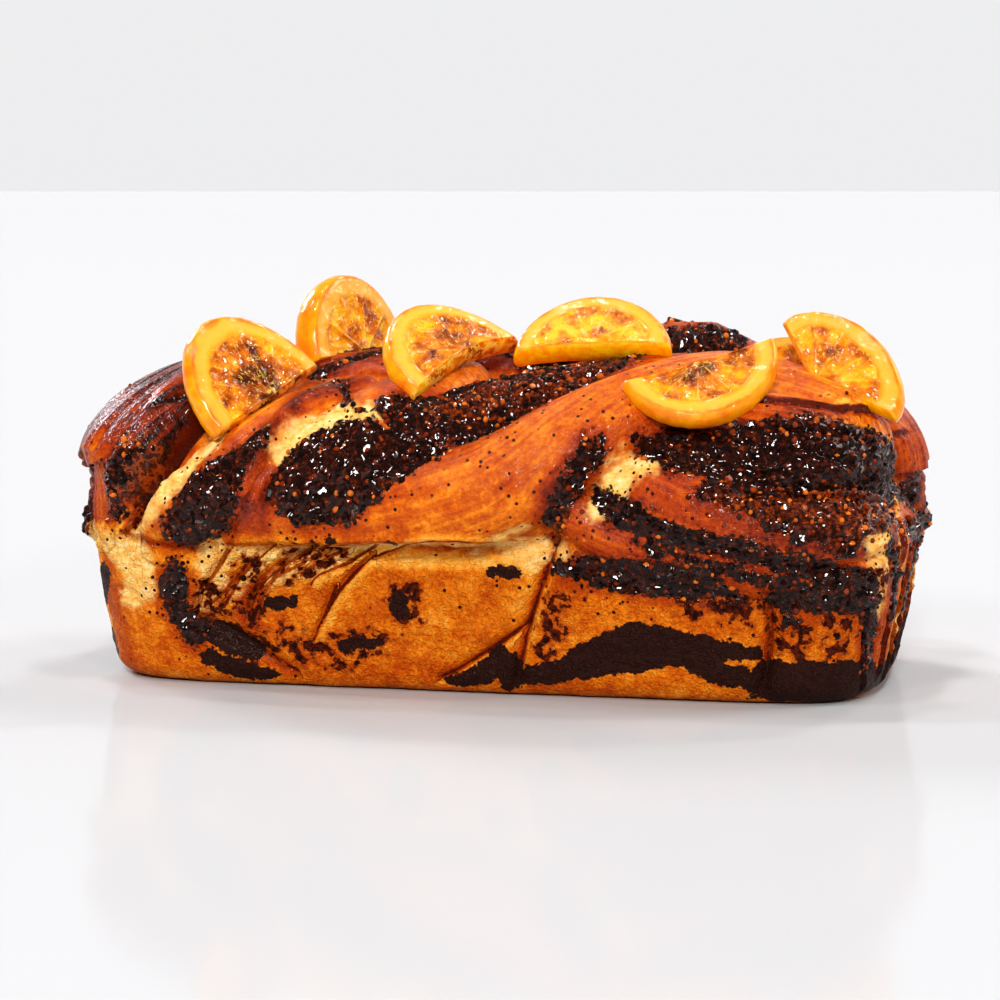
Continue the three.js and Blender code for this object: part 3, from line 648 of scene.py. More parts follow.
def fold_dough(plain, height):
    """Adds creases, laps and ridges to the height. Gives mm from the nearest lap, and the painted shade in
    grooves and undercuts.
    """
    groove_shade = np.zeros(len(plain))
    lap = np.full(len(plain), LAP_FAR)

    def nearer(aside, clear):
        return np.where(clear & (np.abs(aside) < np.abs(lap)), aside, lap)

    seams = both_sides(RIM_SEAMS)
    for route in both_sides(CREASES + RIM_SEAMS):
        share, deep, _, aside = follow(route, plain)
        lap = nearer(aside, (share < NEAR) & (route not in seams))
        dip = deep * np.exp(-(share**2)) + SEAM_DEPTH * np.exp(-((share * SEAM_SHARPNESS) ** 2))
        height -= dip
        # Painted shade along the crease's groove, as deep as its dip.
        groove_shade = np.maximum(groove_shade, dip * np.exp(-((GROOVE_NARROW * share) ** 2)))
    for route in both_sides(FOLDS):
        share, tall, _, aside = follow(route, plain)
        lap = nearer(aside, (share < NEAR) & (tall > LAP_SHOWS))
        side = np.where(np.isfinite(share), np.sign(aside) * np.minimum(share, NEAR), -NEAR)
        over = tall * smooth(side, -LAP["edge"], LAP["edge"])
        over = over * np.exp(-np.maximum(side, 0) / LAP["fall"])
        undercut = np.exp(-((side - LAP["under_at"]) ** 2) / LAP["under_spread"])
        under = LAP["under"] * tall * undercut
        height += over * smooth(NEAR - np.abs(side), 0, 1) - under
        # Painted shade under the lap.
        groove_shade = np.maximum(groove_shade, UNDERCUT_SHADE * under)
    for route in both_sides(RIDGES):
        share, tall, _, _ = follow(route, plain)
        height += tall * np.exp(-(share**2))
    return lap, groove_shade


def find_zones(plain, bake):
    """Each zone's signed distance at each place. The browner and paler zones, painted highlight and shade
    among them, are added to the bake.
    """
    shifts = [rough(plain, WANDER["size"], shift) for shift in (3.1, 8.7, 5.3)]
    wander = WANDER["far"] * np.stack(shifts, axis=1)
    zones = {}
    for name, strokes in ZONES.items():
        share = WANDER["flat_share"] if name == "flat" else 1
        zones[name] = zone_distance(strokes, plain + share * wander)
    for stroke, more in BAKE_SHIFTS_AND_PAINTED_LIGHT:
        bake += more * smooth(-zone_distance([stroke], plain + wander), -3, 2)
    return zones


def fine_relief(plain, zones, free, ribbed, along, across):
    """Rolled-in lines, lumps of filling, torn fibres and the wall's unevenness, in mm."""

    def lines(length, width, shift=0.0):
        at = np.stack([along / length, across / width, np.zeros(len(plain))], axis=1)
        return rough(at, 1, shift)

    filled = smooth(-zones["seeded"], -1.2, 0.8)
    pale = smooth(-zones["torn"], -1, 1) * (1 - filled)
    crown = free * ribbed * (1 - filled) * (1 - pale)
    made = crown * (RIBS["fine"] * lines(26, 1.5) + RIBS["broad"] * lines(40, 4, 4.2))
    lumps = FILLING["lumps"] * np.abs(rough(plain, 2.6, 1.7)) - FILLING["sunk"]
    lumps += FILLING["clots"] * np.abs(rough(plain, (7, 7, 3.5), 5.5))
    lumps -= FILLING["folds"] * (np.abs(lines(14, 3.4, 6.4)) - FILLING["folds_from"])
    lumps += FILLING["swells"] * rough(plain, 6, 9.1)
    made += filled * lumps
    fibres = TORN_DOUGH["fibres"] * rough(plain, (3, 3, 5), 6.6, 3)
    made += pale * (fibres - TORN_DOUGH["sunk"])
    uneven = WALL_DOUGH["broad"] * rough(plain, (14, 14, 5), 2.2, 3)
    uneven += WALL_DOUGH["fine"] * rough(plain, (3, 3, 1.6), 7.7)
    return made + (1 - free) * (1 - filled) * uneven


def build_crust():
    """The loaf's points and faces, and what its material needs to know at each point."""
    lattice, faces, foot = crust_lattice()
    plain = on_surface(lattice)
    out = normals_of(plain, faces)
    on_foot = plain[:, 2] < FOOT_TOLERANCE
    out[on_foot, 2] = 0
    out /= np.linalg.norm(out, axis=1, keepdims=True)

    height, bake, ribbed, along, across = lay_strands(plain)
    free = free_of_tin(plain)
    bake = between(WALL_BAKE, bake, np.maximum(free, smooth(height, 0.5, 2)))
    height = np.minimum(height, between(WALL_RELIEF, FREE_RELIEF, free))
    lap, groove_shade = fold_dough(plain, height)
    facts = find_zones(plain, bake)
    height += fine_relief(plain, facts, free, ribbed, along, across)

    points = plain + out * height[:, None]
    points[:, 2] = np.where(on_foot, 0, np.maximum(points[:, 2], LOWEST_OFF_FOOT))
    facts |= {
        "bake": np.clip(bake, 0, 1),
        "free": free,
        "groove_shade": groove_shade,
        "lap": lap,
        "ribbed": ribbed,
        "along": along,
        "across": across,
        "film": out,
    }
    return points, faces, foot, facts


# ---- Meshes ----


def placed(name, data):
    """A new object in the scene."""
    made = bpy.data.objects.new(name, data)
    bpy.context.collection.objects.link(made)
    return made


def mesh_object(name, points, faces, facts):
    """A smooth mesh given in mm, its faces as rows of points, with each fact at each point."""
    mesh = bpy.data.meshes.new(name)
    loops = np.concatenate(faces)
    starts = np.concatenate([[0], np.cumsum([len(face) for face in faces])[:-1]])
    mesh.vertices.add(len(points))
    mesh.vertices.foreach_set("co", (points * MM).astype(np.float32).ravel())
    mesh.loops.add(len(loops))
    mesh.loops.foreach_set("vertex_index", loops.astype(np.int32))
    mesh.polygons.add(len(starts))
    mesh.polygons.foreach_set("loop_start", starts.astype(np.int32))
    mesh.update(calc_edges=True)
    mesh.validate()
    mesh.shade_smooth()
    for fact, values in facts.items():
        kind, field = ("FLOAT_VECTOR", "vector") if values.ndim == 2 else ("FLOAT", "value")
        layer = mesh.attributes.new(fact, kind, "POINT")
        layer.data.foreach_set(field, values.astype(np.float32).ravel())
    return placed(name, mesh)


def make_loaf(points, faces, foot, facts):
    """The crust as squares, closed by a fan of triangles under its flat foot."""
    middle = len(points)
    points = np.vstack([points, [0, 0, 0]])
    facts = {fact: np.concatenate([row, np.zeros_like(row[:1])]) for fact, row in facts.items()}
    for fact in ZONES:
        facts[fact][middle] = FAR
    facts["bake"][middle] = FOOT_BAKE
    fan = np.stack([foot, np.full(len(foot), middle), np.roll(foot, -1)], axis=1)
    return mesh_object("babka_loaf", points, [*faces, *fan], facts)


# ---- Poppy seeds ----

SEED_DRAW = 5
SEED_RADIUS = 0.72
SEED_SPREAD = 0.26
SEED_STANDS = -0.25
SEED_UNEVEN = 0.3
# The syrup lies flatter over a seed than the seed is round.
SEED_ROUND_SHARE = 0.14
FILLING_ROUND_SHARE = 0.5
SEED_FILM_LEAN = 0.6
DARK_SEEDS = 2700
DARK_GAP = 1.1
AMBER_SEEDS = 2300
AMBER_GAP = 1.3


def ball():
    """A small ball: an octahedron whose edges are halved once, 18 points and 32 triangles."""
    points = [(1, 0, 0), (-1, 0, 0), (0, 1, 0), (0, -1, 0), (0, 0, 1), (0, 0, -1)]
    faces = []
    for x in (0, 1):
        for y in (2, 3):
            for z in (4, 5):
                odd = (x + (y - 2) + (z - 4)) % 2
                faces.append((x, z, y) if odd else (x, y, z))
    known = {}

    def halfway(a, b):
        key = (min(a, b), max(a, b))
        if key not in known:
            middle = np.array(points[a], float) + points[b]
            known[key] = len(points)
            points.append(tuple(middle / np.linalg.norm(middle)))
        return known[key]

    finer = []
    for a, b, c in faces:
        ab, bc, ca = halfway(a, b), halfway(b, c), halfway(c, a)
        finer += [(a, ab, ca), (ab, b, bc), (ca, bc, c), (ab, bc, ca)]
    return np.array(points, float), np.array(finer)


def scatter(draw, points, faces, chance, count):
    """Places on the surface, drawn by area and by the chance at each face."""
    a, b, c, d = (points[faces[:, n]] for n in range(4))
    cross = np.cross(c - a, d - b)
    area = np.linalg.norm(cross, axis=1) / 2
    odds = area * chance
    picked = draw.choice(len(faces), size=count, p=odds / odds.sum())
    u, v = draw.random((2, count, 1))
    places = a[picked] * (1 - u) * (1 - v) + b[picked] * u * (1 - v)
    places = places + c[picked] * u * v + d[picked] * (1 - u) * v
    return places, cross[picked] / np.maximum(2 * area[picked, None], 1e-9)


def thin_out(places, gap):
    """Which places to keep, so that no two are nearer than the gap."""
    grid = {}
    kept = []
    for n, place in enumerate(places):
        cell = np.floor(place / gap).astype(int)
        around = []
        for step in np.ndindex(3, 3, 3):
            around += grid.get(tuple(cell + step - 1), [])
        if all(np.sum((places[other] - place) ** 2) >= gap * gap for other in around):
            grid.setdefault(tuple(cell), []).append(n)
            kept.append(n)
    return np.array(kept)


def seeds_object(name, draw, places, out):
    """Balls of slightly different sizes, sunk just past half in what they lie on, as one mesh."""
    shape, triangles = ball()
    radius = SEED_RADIUS + SEED_SPREAD * (draw.random(len(places)) - 0.5) * 2
    stretch = 1 + SEED_UNEVEN * (draw.random((len(places), 3)) - 0.5) * 2
    centre = places + out * (SEED_STANDS * radius)[:, None]
    points = centre[:, None, :] + shape[None] * (radius[:, None] * stretch)[:, None, :]
    faces = triangles[None] + (np.arange(len(places)) * len(shape))[:, None, None]
    shade = np.repeat(draw.random(len(places)), len(shape))
    lean = SEED_FILM_LEAN * (draw.random((len(places), 3)) - 0.5)
    facts = {"shade": shade, "film": np.repeat(out + lean, len(shape), axis=0)}
    return mesh_object(name, points.reshape(-1, 3), faces.reshape(-1, 3), facts)


# ---- Candied orange slices ----

# The two ends of a slice's cut edge, the middle of its rind, how far it bends and how far its
# cut edge swells, how brown it is, and its thickness.
SLICES = [
    ((-68, -58.5, 70.5), (-50, -24, 87.5), (-77.5, -38, 101), 2, 1, 0.75, 6.5),
    ((-55, -16.5, 87.5), (-38.5, 22, 89.5), (-54, 3, 112), 1, 0, 0.28, 8.5),
    ((-15.5, -48, 82.5), (5.5, -13, 96), (-26, -23, 102), 3, -2, 0.5, 6.5),
    ((5.5, -22, 91.5), (49.5, -17, 93.5), (24.5, 0, 105), 2, 1, 0.1, 6.5),
    ((41.5, -48.5, 83.5), (80, -32, 95), (70.5, -51.5, 77), 2, 1, 0.45, 6.5),
    ((78.5, -7.5, 100.5), (112, -27.5, 76), (104.5, -13.5, 97.5), 2, 8, 0.3, 6.5),
    ((62, 3, 85), (102, 9, 82), (82, 11.5, 95), 2, 0, 0.2, 6.5),
]
SLICE_ROUNDING = {"rim": 0.045, "cut_edge": 0.8}
SLICE_RINGS = 34
SLICE_RING_POWER = 0.8
SLICE_ARC_STEPS = 96
SLICE_CUT_STEPS = 44
SLICE_EDGE_STEPS = 8
# How far out the flat face reaches, and how the edge between the faces is rounded.
SLICE_FACE = 0.965
SLICE_EDGE = {"power": 0.6, "level": 0.97}
SLICE_HUB = 0.42
SEGMENTS = 5
FLESH_RADIUS = 0.77
# The core without membranes, in mm, and the relief of the flesh and the rind.
CORE_RADIUS = 1.6
SLICE_RELIEF = {"sunk": 0.75, "sacs": 0.55, "rim": 0.25, "uneven": 0.22, "wall": 0.18}


def slice_outline():
    """The half disc's outline, round the rind from one end of the cut edge and back along it."""
    arc = np.linspace(0, math.pi, SLICE_ARC_STEPS, endpoint=False)
    cut = np.linspace(-1, 1, SLICE_CUT_STEPS, endpoint=False)
    rind = np.stack([np.cos(arc), np.sin(arc)], axis=1)
    edge = np.stack([cut, np.zeros_like(cut)], axis=1)
    return np.concatenate([rind, edge])


def slice_profile():
    """How far out each ring lies, and how high in the slice's thickness, from face to face."""
    out = np.linspace(0, 1, SLICE_RINGS + 1)[1:] ** SLICE_RING_POWER
    face = [(SLICE_FACE * share, 1.0) for share in out]
    edge = []
    for n in range(1, SLICE_EDGE_STEPS):
        turn = math.pi * n / SLICE_EDGE_STEPS
        bulge = (1 - SLICE_FACE) * math.sin(turn) ** SLICE_EDGE["power"]
        edge.append((SLICE_FACE + bulge, math.cos(turn) * SLICE_EDGE["level"]))
    back = [(scale, -high) for scale, high in reversed(face)]
    return face + edge + back


def make_slice(number, start, end, rind, bend, apex, brown, thickness):
    """One half slice: its faces, its rind and its cut edge in one closed mesh."""
    start, end = Vector(start), Vector(end)
    middle = (start + end) / 2
    along = (end - start).normalized()
    to_rind = Vector(rind) - middle
    to_rind -= along * to_rind.dot(along)
    depth = to_rind.length
    half = (end - start).length / 2
    to_rind.normalize()
    facing = along.cross(to_rind).normalized()

    outline = slice_outline()
    hub = np.array([0, SLICE_HUB])
    profile = slice_profile()
    flat = [hub + (outline - hub) * scale for scale, _ in profile]
    level = [np.full(len(outline), high) for _, high in profile]
    flat = np.concatenate([[hub], *flat, [hub]])
    level = np.concatenate([[1.0], *level, [-1.0]])
    x, y = flat[:, 0], flat[:, 1]
    radius = np.hypot(x, y)
    wedge = np.arctan2(y, x) / math.pi * SEGMENTS
    to_membrane = np.abs(wedge - np.round(wedge)) * math.pi / SEGMENTS * radius * half
    to_membrane = np.minimum(to_membrane, np.where(radius * half < CORE_RADIUS, 0, FAR))
    on_face = np.clip((np.abs(level) - 0.9) / 0.1, 0, 1)

    flesh = smooth(FLESH_RADIUS - radius, 0, 0.05) * smooth(to_membrane, 0.25, 1.1)
    places = np.stack([x * half, y * depth, level * 3 + 20 * number], axis=1)
    rays = np.stack([wedge * 3.1, radius * 1.6, level + 7.0 * number], axis=1)
    sacs = rough(rays, 1) * 0.5 + np.abs(rough(places, 1.5)) * 0.7
    relief = flesh * (SLICE_RELIEF["sacs"] * sacs - SLICE_RELIEF["sunk"])
    relief -= SLICE_RELIEF["rim"] * smooth(radius, 0.94, 1.0)
    relief += SLICE_RELIEF["uneven"] * rough(places, 6)
    rounding = 1 - SLICE_ROUNDING["rim"] * level**2
    v = np.clip(y / np.sqrt(np.maximum(1 - x * x / 2, 0.1)), 0, 1)
    cut_back = SLICE_ROUNDING["cut_edge"] * level**2 - apex * (1 - np.abs(x))
    across = level * thickness / 2 + np.sign(level) * on_face * relief - bend * x * x
    local = np.stack([x * half * rounding, y * depth * rounding + cut_back * (1 - v), across], axis=1)
    wall_bumps = (1 - on_face) * SLICE_RELIEF["wall"] * rough(places, 2.5, 5.0)
    local += np.stack([x, y, np.zeros_like(x)], axis=1) * wall_bumps[:, None]
    points = local @ np.array([along, to_rind, facing]) + np.array(middle)

    count = len(outline)
    ring = np.arange(count)
    following = np.roll(ring, -1)
    faces = []
    for low in range(1, 1 + (len(profile) - 1) * count, count):
        high = low + count
        faces += list(np.stack([low + ring, high + ring, high + following, low + following], axis=1))
    last = 1 + (len(profile) - 1) * count
    faces += list(np.stack([np.zeros(count, int), 1 + ring, 1 + following], axis=1))
    faces += list(np.stack([np.full(count, len(points) - 1), last + following, last + ring], axis=1))
    facts = {
        "radius": radius,
        "wedge": wedge,
        "membrane": to_membrane,
        "on_face": on_face,
        "cut_side": smooth(0.06 - y, 0, 0.05) * (1 - on_face),
        "brown": np.full(len(points), brown),
    }
    return mesh_object(f"candied_slice_{number}", points, faces, facts)


# ---- Materials ----


def linear(red, green, blue):
    """A colour given in 0 to 255 as the renderer's own linear one."""
    made = []
    for value in (red, green, blue):
        share = value / 255
        made.append(share / 12.92 if share <= 0.04045 else ((share + 0.055) / 1.055) ** 2.4)
    return (*made, 1.0)


class Nodes:
    """Short ways to add the nodes of one material or world."""

    def __init__(self, owner):
        owner.use_nodes = True
        self.owner = owner
        self.tree = owner.node_tree

    def add(self, kind, inputs=None, **settings):
        node = self.tree.nodes.new(kind)
        for key, value in settings.items():
            setattr(node, key, value)
        for key, value in (inputs or {}).items():
            self.put(value, node.inputs[key])
        return node

    def put(self, value, socket):
        if isinstance(value, bpy.types.NodeSocket):
            self.tree.links.new(value, socket)
        else:
            socket.default_value = value

    def surface(self, inputs):
        """Sets or links sockets of the material's own shader."""
        for key, value in inputs.items():
            self.put(value, self.tree.nodes["Principled BSDF"].inputs[key])

    def blend(self, share, first, second, out):
        """Sends a blend of two shaders to the output."""
        both = self.add("ShaderNodeMixShader")
        for socket, value in zip(both.inputs, (share, first.outputs[0], second.outputs[0])):
            self.put(value, socket)
        self.put(both.outputs[0], out.inputs[0])

    def fact(self, name):
        return self.add("ShaderNodeAttribute", attribute_name=name).outputs["Fac"]

    def math(self, operation, first, *others):
        """One number, or several joined two by two by the operation."""
        for other in others or (0.0,):
            node = self.add("ShaderNodeMath", operation=operation)
            self.put(first, node.inputs[0])
            self.put(other, node.inputs[1])
            first = node.outputs[0]
        return first

    def plus(self, *values):
        return self.math("ADD", *values)

    def minus(self, first, second):
        return self.math("SUBTRACT", first, second)

    def times(self, *values):
        return self.math("MULTIPLY", *values)

    def mapped(self, value, low, high, to_low=0.0, to_high=1.0, kind="SMOOTHSTEP"):
        node = self.add("ShaderNodeMapRange", interpolation_type=kind, clamp=True)
        for socket, item in zip(node.inputs, (value, low, high, to_low, to_high)):
            self.put(item, socket)
        return node.outputs["Result"]

    def mix(self, share, first, second):
        node = self.add("ShaderNodeMix", data_type="RGBA")
        for number, value in ((0, share), (6, first), (7, second)):
            self.put(value, node.inputs[number])
        return node.outputs[2]

    def ramp(self, value, stops):
        node = self.add("ShaderNodeValToRGB", {"Fac": value})
        ramp = node.color_ramp
        for place, _ in stops[1:-1]:
            ramp.elements.new(place)
        for element, (place, colour) in zip(ramp.elements, stops):
            element.position = place
            element.color = linear(*colour)
        return node.outputs["Color"]

    def vector(self, operation, first, *others):
        node = self.add("ShaderNodeVectorMath", operation=operation)
        for number, value in enumerate((first, *others)):
            self.put(value, node.inputs[number])
        return node.outputs[0]

    def place_mm(self, stretch=(1, 1, 1)):
        """The place on the piece in mm, stretched along each axis."""
        place = self.add("ShaderNodeTexCoord").outputs["Object"]
        return self.vector("MULTIPLY", place, [share / MM for share in stretch])

    def noise(self, vector, size, detail=2.0, roughness=0.55):
        inputs = {"Vector": vector, "Scale": 1 / size, "Detail": detail, "Roughness": roughness}
        return self.add("ShaderNodeTexNoise", inputs).outputs["Fac"]

    def swing(self, vector, size, amount, detail=2.0, roughness=0.55):
        """Noise about 0, times the amount."""
        return self.times(self.minus(self.noise(vector, size, detail, roughness), 0.5), amount)

    def cells(self, vector, size, feature="F1"):
        return self.add("ShaderNodeTexVoronoi", {"Vector": vector, "Scale": 1 / size}, feature=feature)

    def joined(self, *values):
        node = self.add("ShaderNodeCombineXYZ")
        for socket, value in zip(node.inputs, values):
            self.put(value, socket)
        return node.outputs[0]

    def facets(self, vector, size, tilt, normal):
        """A normal that leans at random from one small cell to the next, as wet lumps do."""
        lean = self.vector("SUBTRACT", self.cells(vector, size).outputs["Color"], (0.5,) * 3)
        lean = self.vector("MULTIPLY", lean, (tilt,) * 3)
        return self.vector("NORMALIZE", self.vector("ADD", normal, lean))

    def normal(self):
        return self.add("ShaderNodeNewGeometry").outputs["Normal"]

    def film(self, round_share):
        """The normal of syrup that lies flatter than the surface under it."""
        flat = self.add("ShaderNodeAttribute", attribute_name="film").outputs["Vector"]
        surface = self.vector("MULTIPLY", self.normal(), (round_share,) * 3)
        return self.vector("NORMALIZE", self.vector("ADD", flat, surface))

    def bump(self, height, strength, distance, normal=None):
        """A normal bent by a height, which counts for the distance in mm."""
        inputs = {"Strength": strength, "Distance": distance * MM, "Height": height}
        if normal is not None:
            inputs["Normal"] = normal
        return self.add("ShaderNodeBump", inputs).outputs["Normal"]


BAKE_COLOURS = [
    (0.0, (252, 216, 140)),
    (0.2, (252, 180, 72)),
    (0.38, (232, 130, 20)),
    (0.52, (200, 90, 9)),
    (0.68, (172, 62, 8)),
    (0.84, (118, 35, 9)),
    (1.0, (40, 10, 6)),
]
TORN_COLOURS = [(0.25, (236, 150, 60)), (0.5, (253, 200, 112)), (0.75, (255, 230, 176))]
FILLING_COLOURS = [(0.3, (14, 4, 3)), (0.5, (40, 13, 6)), (0.62, (86, 30, 9)), (0.75, (170, 74, 20))]
FLAT_COLOURS = [(0.0, (38, 18, 14)), (1.0, (62, 32, 24))]
# Painted shade in the crevice where one fold lies on the next, browner on torn dough.
LAP_SHADE_COLOUR = linear(98, 28, 5)
TORN_LAP_SHADE_COLOUR = linear(176, 88, 22)
SPECK_COLOUR = linear(58, 20, 10)
HALO_COLOUR = linear(176, 74, 10)
STAIN_COLOURS = (linear(44, 11, 5), linear(104, 36, 8))
# What comes back from the base below a coat of glaze or syrup.
BASE_SPECULAR = 0.05


def loaf_material():
    """The crust from pale to burnt, its filling, its torn places and its glaze."""
    n = Nodes(bpy.data.materials.new("crust"))
    place = n.place_mm()
    wobble = n.swing(place, 3.2, 5.5, 3)
    fine_wobble = n.swing(place, 1.1, 2.4)
    free, ribbed, lap = n.fact("free"), n.fact("ribbed"), n.fact("lap")
    to_seeded = n.fact("seeded")
    is_seeded = n.mapped(n.plus(to_seeded, wobble, fine_wobble), 0.35, -0.35)
    flat = n.plus(n.fact("flat"), n.times(wobble, 0.8), n.times(fine_wobble, 0.8))
    is_flat = n.mapped(flat, 0.2, -0.2)
    is_torn = n.mapped(n.plus(n.fact("torn"), wobble), 1.6, -1.6)

    # The crust's colour: how far it is baked, with its streaks and blotches.
    streak_at = n.joined(n.times(n.fact("along"), 0.035), n.times(n.fact("across"), 0.75))
    streaks = n.times(n.swing(streak_at, 1, 0.9, 3), n.times(free, ribbed))
    mottle = n.swing(place, 1.3, 0.46, 3, 0.7)
    blotches = n.plus(n.swing(place, 9, 0.34), n.swing(place, 4, 0.3), mottle)
    # Browner near the filling; the grooves and undercuts get painted shade.
    near_filling_and_groove_shade = n.plus(n.mapped(to_seeded, 5, 0, 0, 0.16), n.times(n.fact("groove_shade"), 0.14))
    bake = n.plus(n.fact("bake"), streaks, blotches, near_filling_and_groove_shade)
    lip = n.times(n.mapped(lap, 0.4, 1.1), n.mapped(lap, 3.6, 1.4, 0, 0.16))
    winding = n.math("ABSOLUTE", n.minus(n.noise(place, 1.9, 2, 0.5), 0.5))
    winding = n.mapped(winding, 0.0, 0.09, 1.0, 0.0)
    winding = n.times(winding, n.mapped(free, 0, 1, 1.0, 0.25))
    # Paler just past a fold's edge, and the winding lines paler still as a painted highlight.
    bake = n.minus(n.minus(bake, lip), n.times(winding, 0.05))
    fibre = n.noise(n.place_mm((0.6, 0.6, 1.4)), 2.4, 3, 0.65)
    crust = n.mix(is_torn, n.ramp(bake, BAKE_COLOURS), n.ramp(fibre, TORN_COLOURS))

    # A thin line of painted shade where one fold lies on the next.
    from_lap = n.math("ABSOLUTE", n.plus(lap, n.times(fine_wobble, 0.16)))
    line_width = n.mapped(n.noise(place, 6), 0.35, 0.65, 0.35, 1.0)
    lap_shade_line = n.mapped(n.math("DIVIDE", from_lap, line_width), 0.9, 0.35)
    crust = n.mix(lap_shade_line, crust, n.mix(is_torn, LAP_SHADE_COLOUR, TORN_LAP_SHADE_COLOUR))

    # Specks of filling on the dough, thicker near the filling.
    speck_cell = n.cells(place, 2.1).outputs
    speck_size = n.mapped(n.math("MINIMUM", to_seeded, n.fact("amber")), 14, 0, 0.06, 0.5)
    speck_draw = n.add("ShaderNodeSeparateColor", {"Color": speck_cell["Color"]}).outputs[0]
    allowed = n.math("LESS_THAN", speck_draw, speck_size)
    speck = n.times(n.mapped(speck_cell["Distance"], 0.3, 0.2), allowed)
    crust = n.mix(speck, crust, SPECK_COLOUR)

    # Stains of filling, broken up into spots.
    spots = n.swing(place, 3.4, 24, 3)
    stained = n.plus(n.math("MAXIMUM", n.fact("smudged"), 0.4), spots)
    crust = n.mix(n.mapped(stained, 3.6, 0.2, 0, 0.7), crust, HALO_COLOUR)
    stained = n.plus(stained, n.times(fine_wobble, 1.2))
    stain = n.mix(n.mapped(n.noise(place, 1.4, 3), 0.35, 0.65), *STAIN_COLOURS)
    crust = n.mix(n.mapped(stained, 0.5, -0.7), crust, stain)

    grain = n.plus(n.noise(place, 1.6, 3, 0.7), n.mapped(n.fact("amber"), 2, -3, 0, 0.1))
    chocolate = n.ramp(n.noise(place, 2.0, 3, 0.6), FLAT_COLOURS)
    colour = n.mix(is_seeded, n.mix(is_flat, crust, chocolate), n.ramp(grain, FILLING_COLOURS))

    roughness = n.plus(n.mapped(free, 0, 1, 0.52, 0.3), n.times(mottle, 0.6))
    for share, there in ((is_torn, 0.6), (is_flat, 0.4), (is_seeded, 0.36)):
        roughness = n.mapped(share, 0, 1, roughness, there)
    dark_shine = n.times(free, n.mapped(n.fact("bake"), 0.66, 0.86, 0, 0.4))
    glaze = n.plus(n.mapped(free, 0, 1, 0.1, 0.36), dark_shine)
    glaze = n.times(glaze, n.mapped(is_torn, 0, 1, 1, 0.4))
    glaze = n.mapped(is_seeded, 0, 1, glaze, 0.6)

    wrinkles = n.times(n.noise(n.place_mm((0.5, 0.5, 1)), 1.6, 2, 0.6), 0.6)
    lines = n.times(n.noise(streak_at, 0.5), ribbed, 1.6)
    winding = n.times(winding, 0.6)
    relief = n.plus(n.noise(place, 0.7, 2, 0.7), wrinkles, lines, winding)
    soft = n.bump(relief, n.mapped(free, 0, 1, 0.8, 0.5), 0.8)
    grains = n.mapped(n.cells(place, 1.35).outputs["Distance"], 0.0, 0.6, 1.0, 0.0)
    paste = n.plus(n.times(grains, 0.5), n.times(n.noise(place, 1.1, 3, 0.6), 1.6))
    coarse = n.bump(n.times(paste, is_seeded), 0.9, 0.7, soft)

    # The glaze flows over the finest relief, so its highlights break up more coarsely.
    flowing = n.plus(n.noise(place, 2.4), n.times(winding, 0.15))
    flowing = n.plus(flowing, n.times(n.noise(streak_at, 0.6), ribbed, 0.9))
    sticky = n.times(n.noise(place, 1.5, 2, 0.5), 1.6, is_seeded)
    glazed = n.bump(n.plus(flowing, sticky), 1.0, 0.85)
    moved = n.vector("ADD", place, n.joined(wobble, wobble, wobble))
    wet = n.facets(moved, 1.9, 0.7, n.film(FILLING_ROUND_SHARE))
    n.surface(
        {
            "Base Color": colour,
            "Roughness": roughness,
            "Specular IOR Level": BASE_SPECULAR,
            "Normal": coarse,
            "Coat Weight": glaze,
            "Coat Roughness": 0.06,
            "Coat Normal": n.mix(is_seeded, glazed, wet),
        }
    )
    return n.owner


DARK_SEED_COLOURS = [(0.0, (8, 3, 2)), (0.6, (34, 9, 4)), (1.0, (140, 50, 10))]
AMBER_SEED_COLOURS = [(0.0, (56, 16, 5)), (0.6, (140, 54, 10)), (1.0, (226, 124, 36))]


def seed_material(name, colours, roughness):
    n = Nodes(bpy.data.materials.new(name))
    n.surface(
        {
            "Base Color": n.ramp(n.fact("shade"), colours),
            "Roughness": roughness,
            "Specular IOR Level": BASE_SPECULAR,
            "Coat Weight": 0.45,
            "Coat Roughness": 0.05,
            "Coat Normal": n.film(SEED_ROUND_SHARE),
        }
    )
    return n.owner


RIND_COLOURS = [(0.3, (255, 180, 22)), (0.5, (250, 154, 10)), (0.7, (236, 120, 8))]
# From the flesh's edge outwards to the rind.
PITH_COLOURS = [(0.0, (246, 160, 24)), (0.3, (250, 184, 72)), (0.72, (248, 174, 62)), (1.0, (226, 112, 12))]
FLESH_COLOURS = [
    (0.3, (92, 34, 4)),
    (0.38, (166, 76, 5)),
    (0.46, (216, 114, 5)),
    (0.54, (246, 158, 8)),
    (0.66, (255, 200, 30)),
]
THREAD_COLOUR = linear(255, 214, 96)
CUT_COLOURS = (linear(255, 196, 10), linear(250, 158, 6))


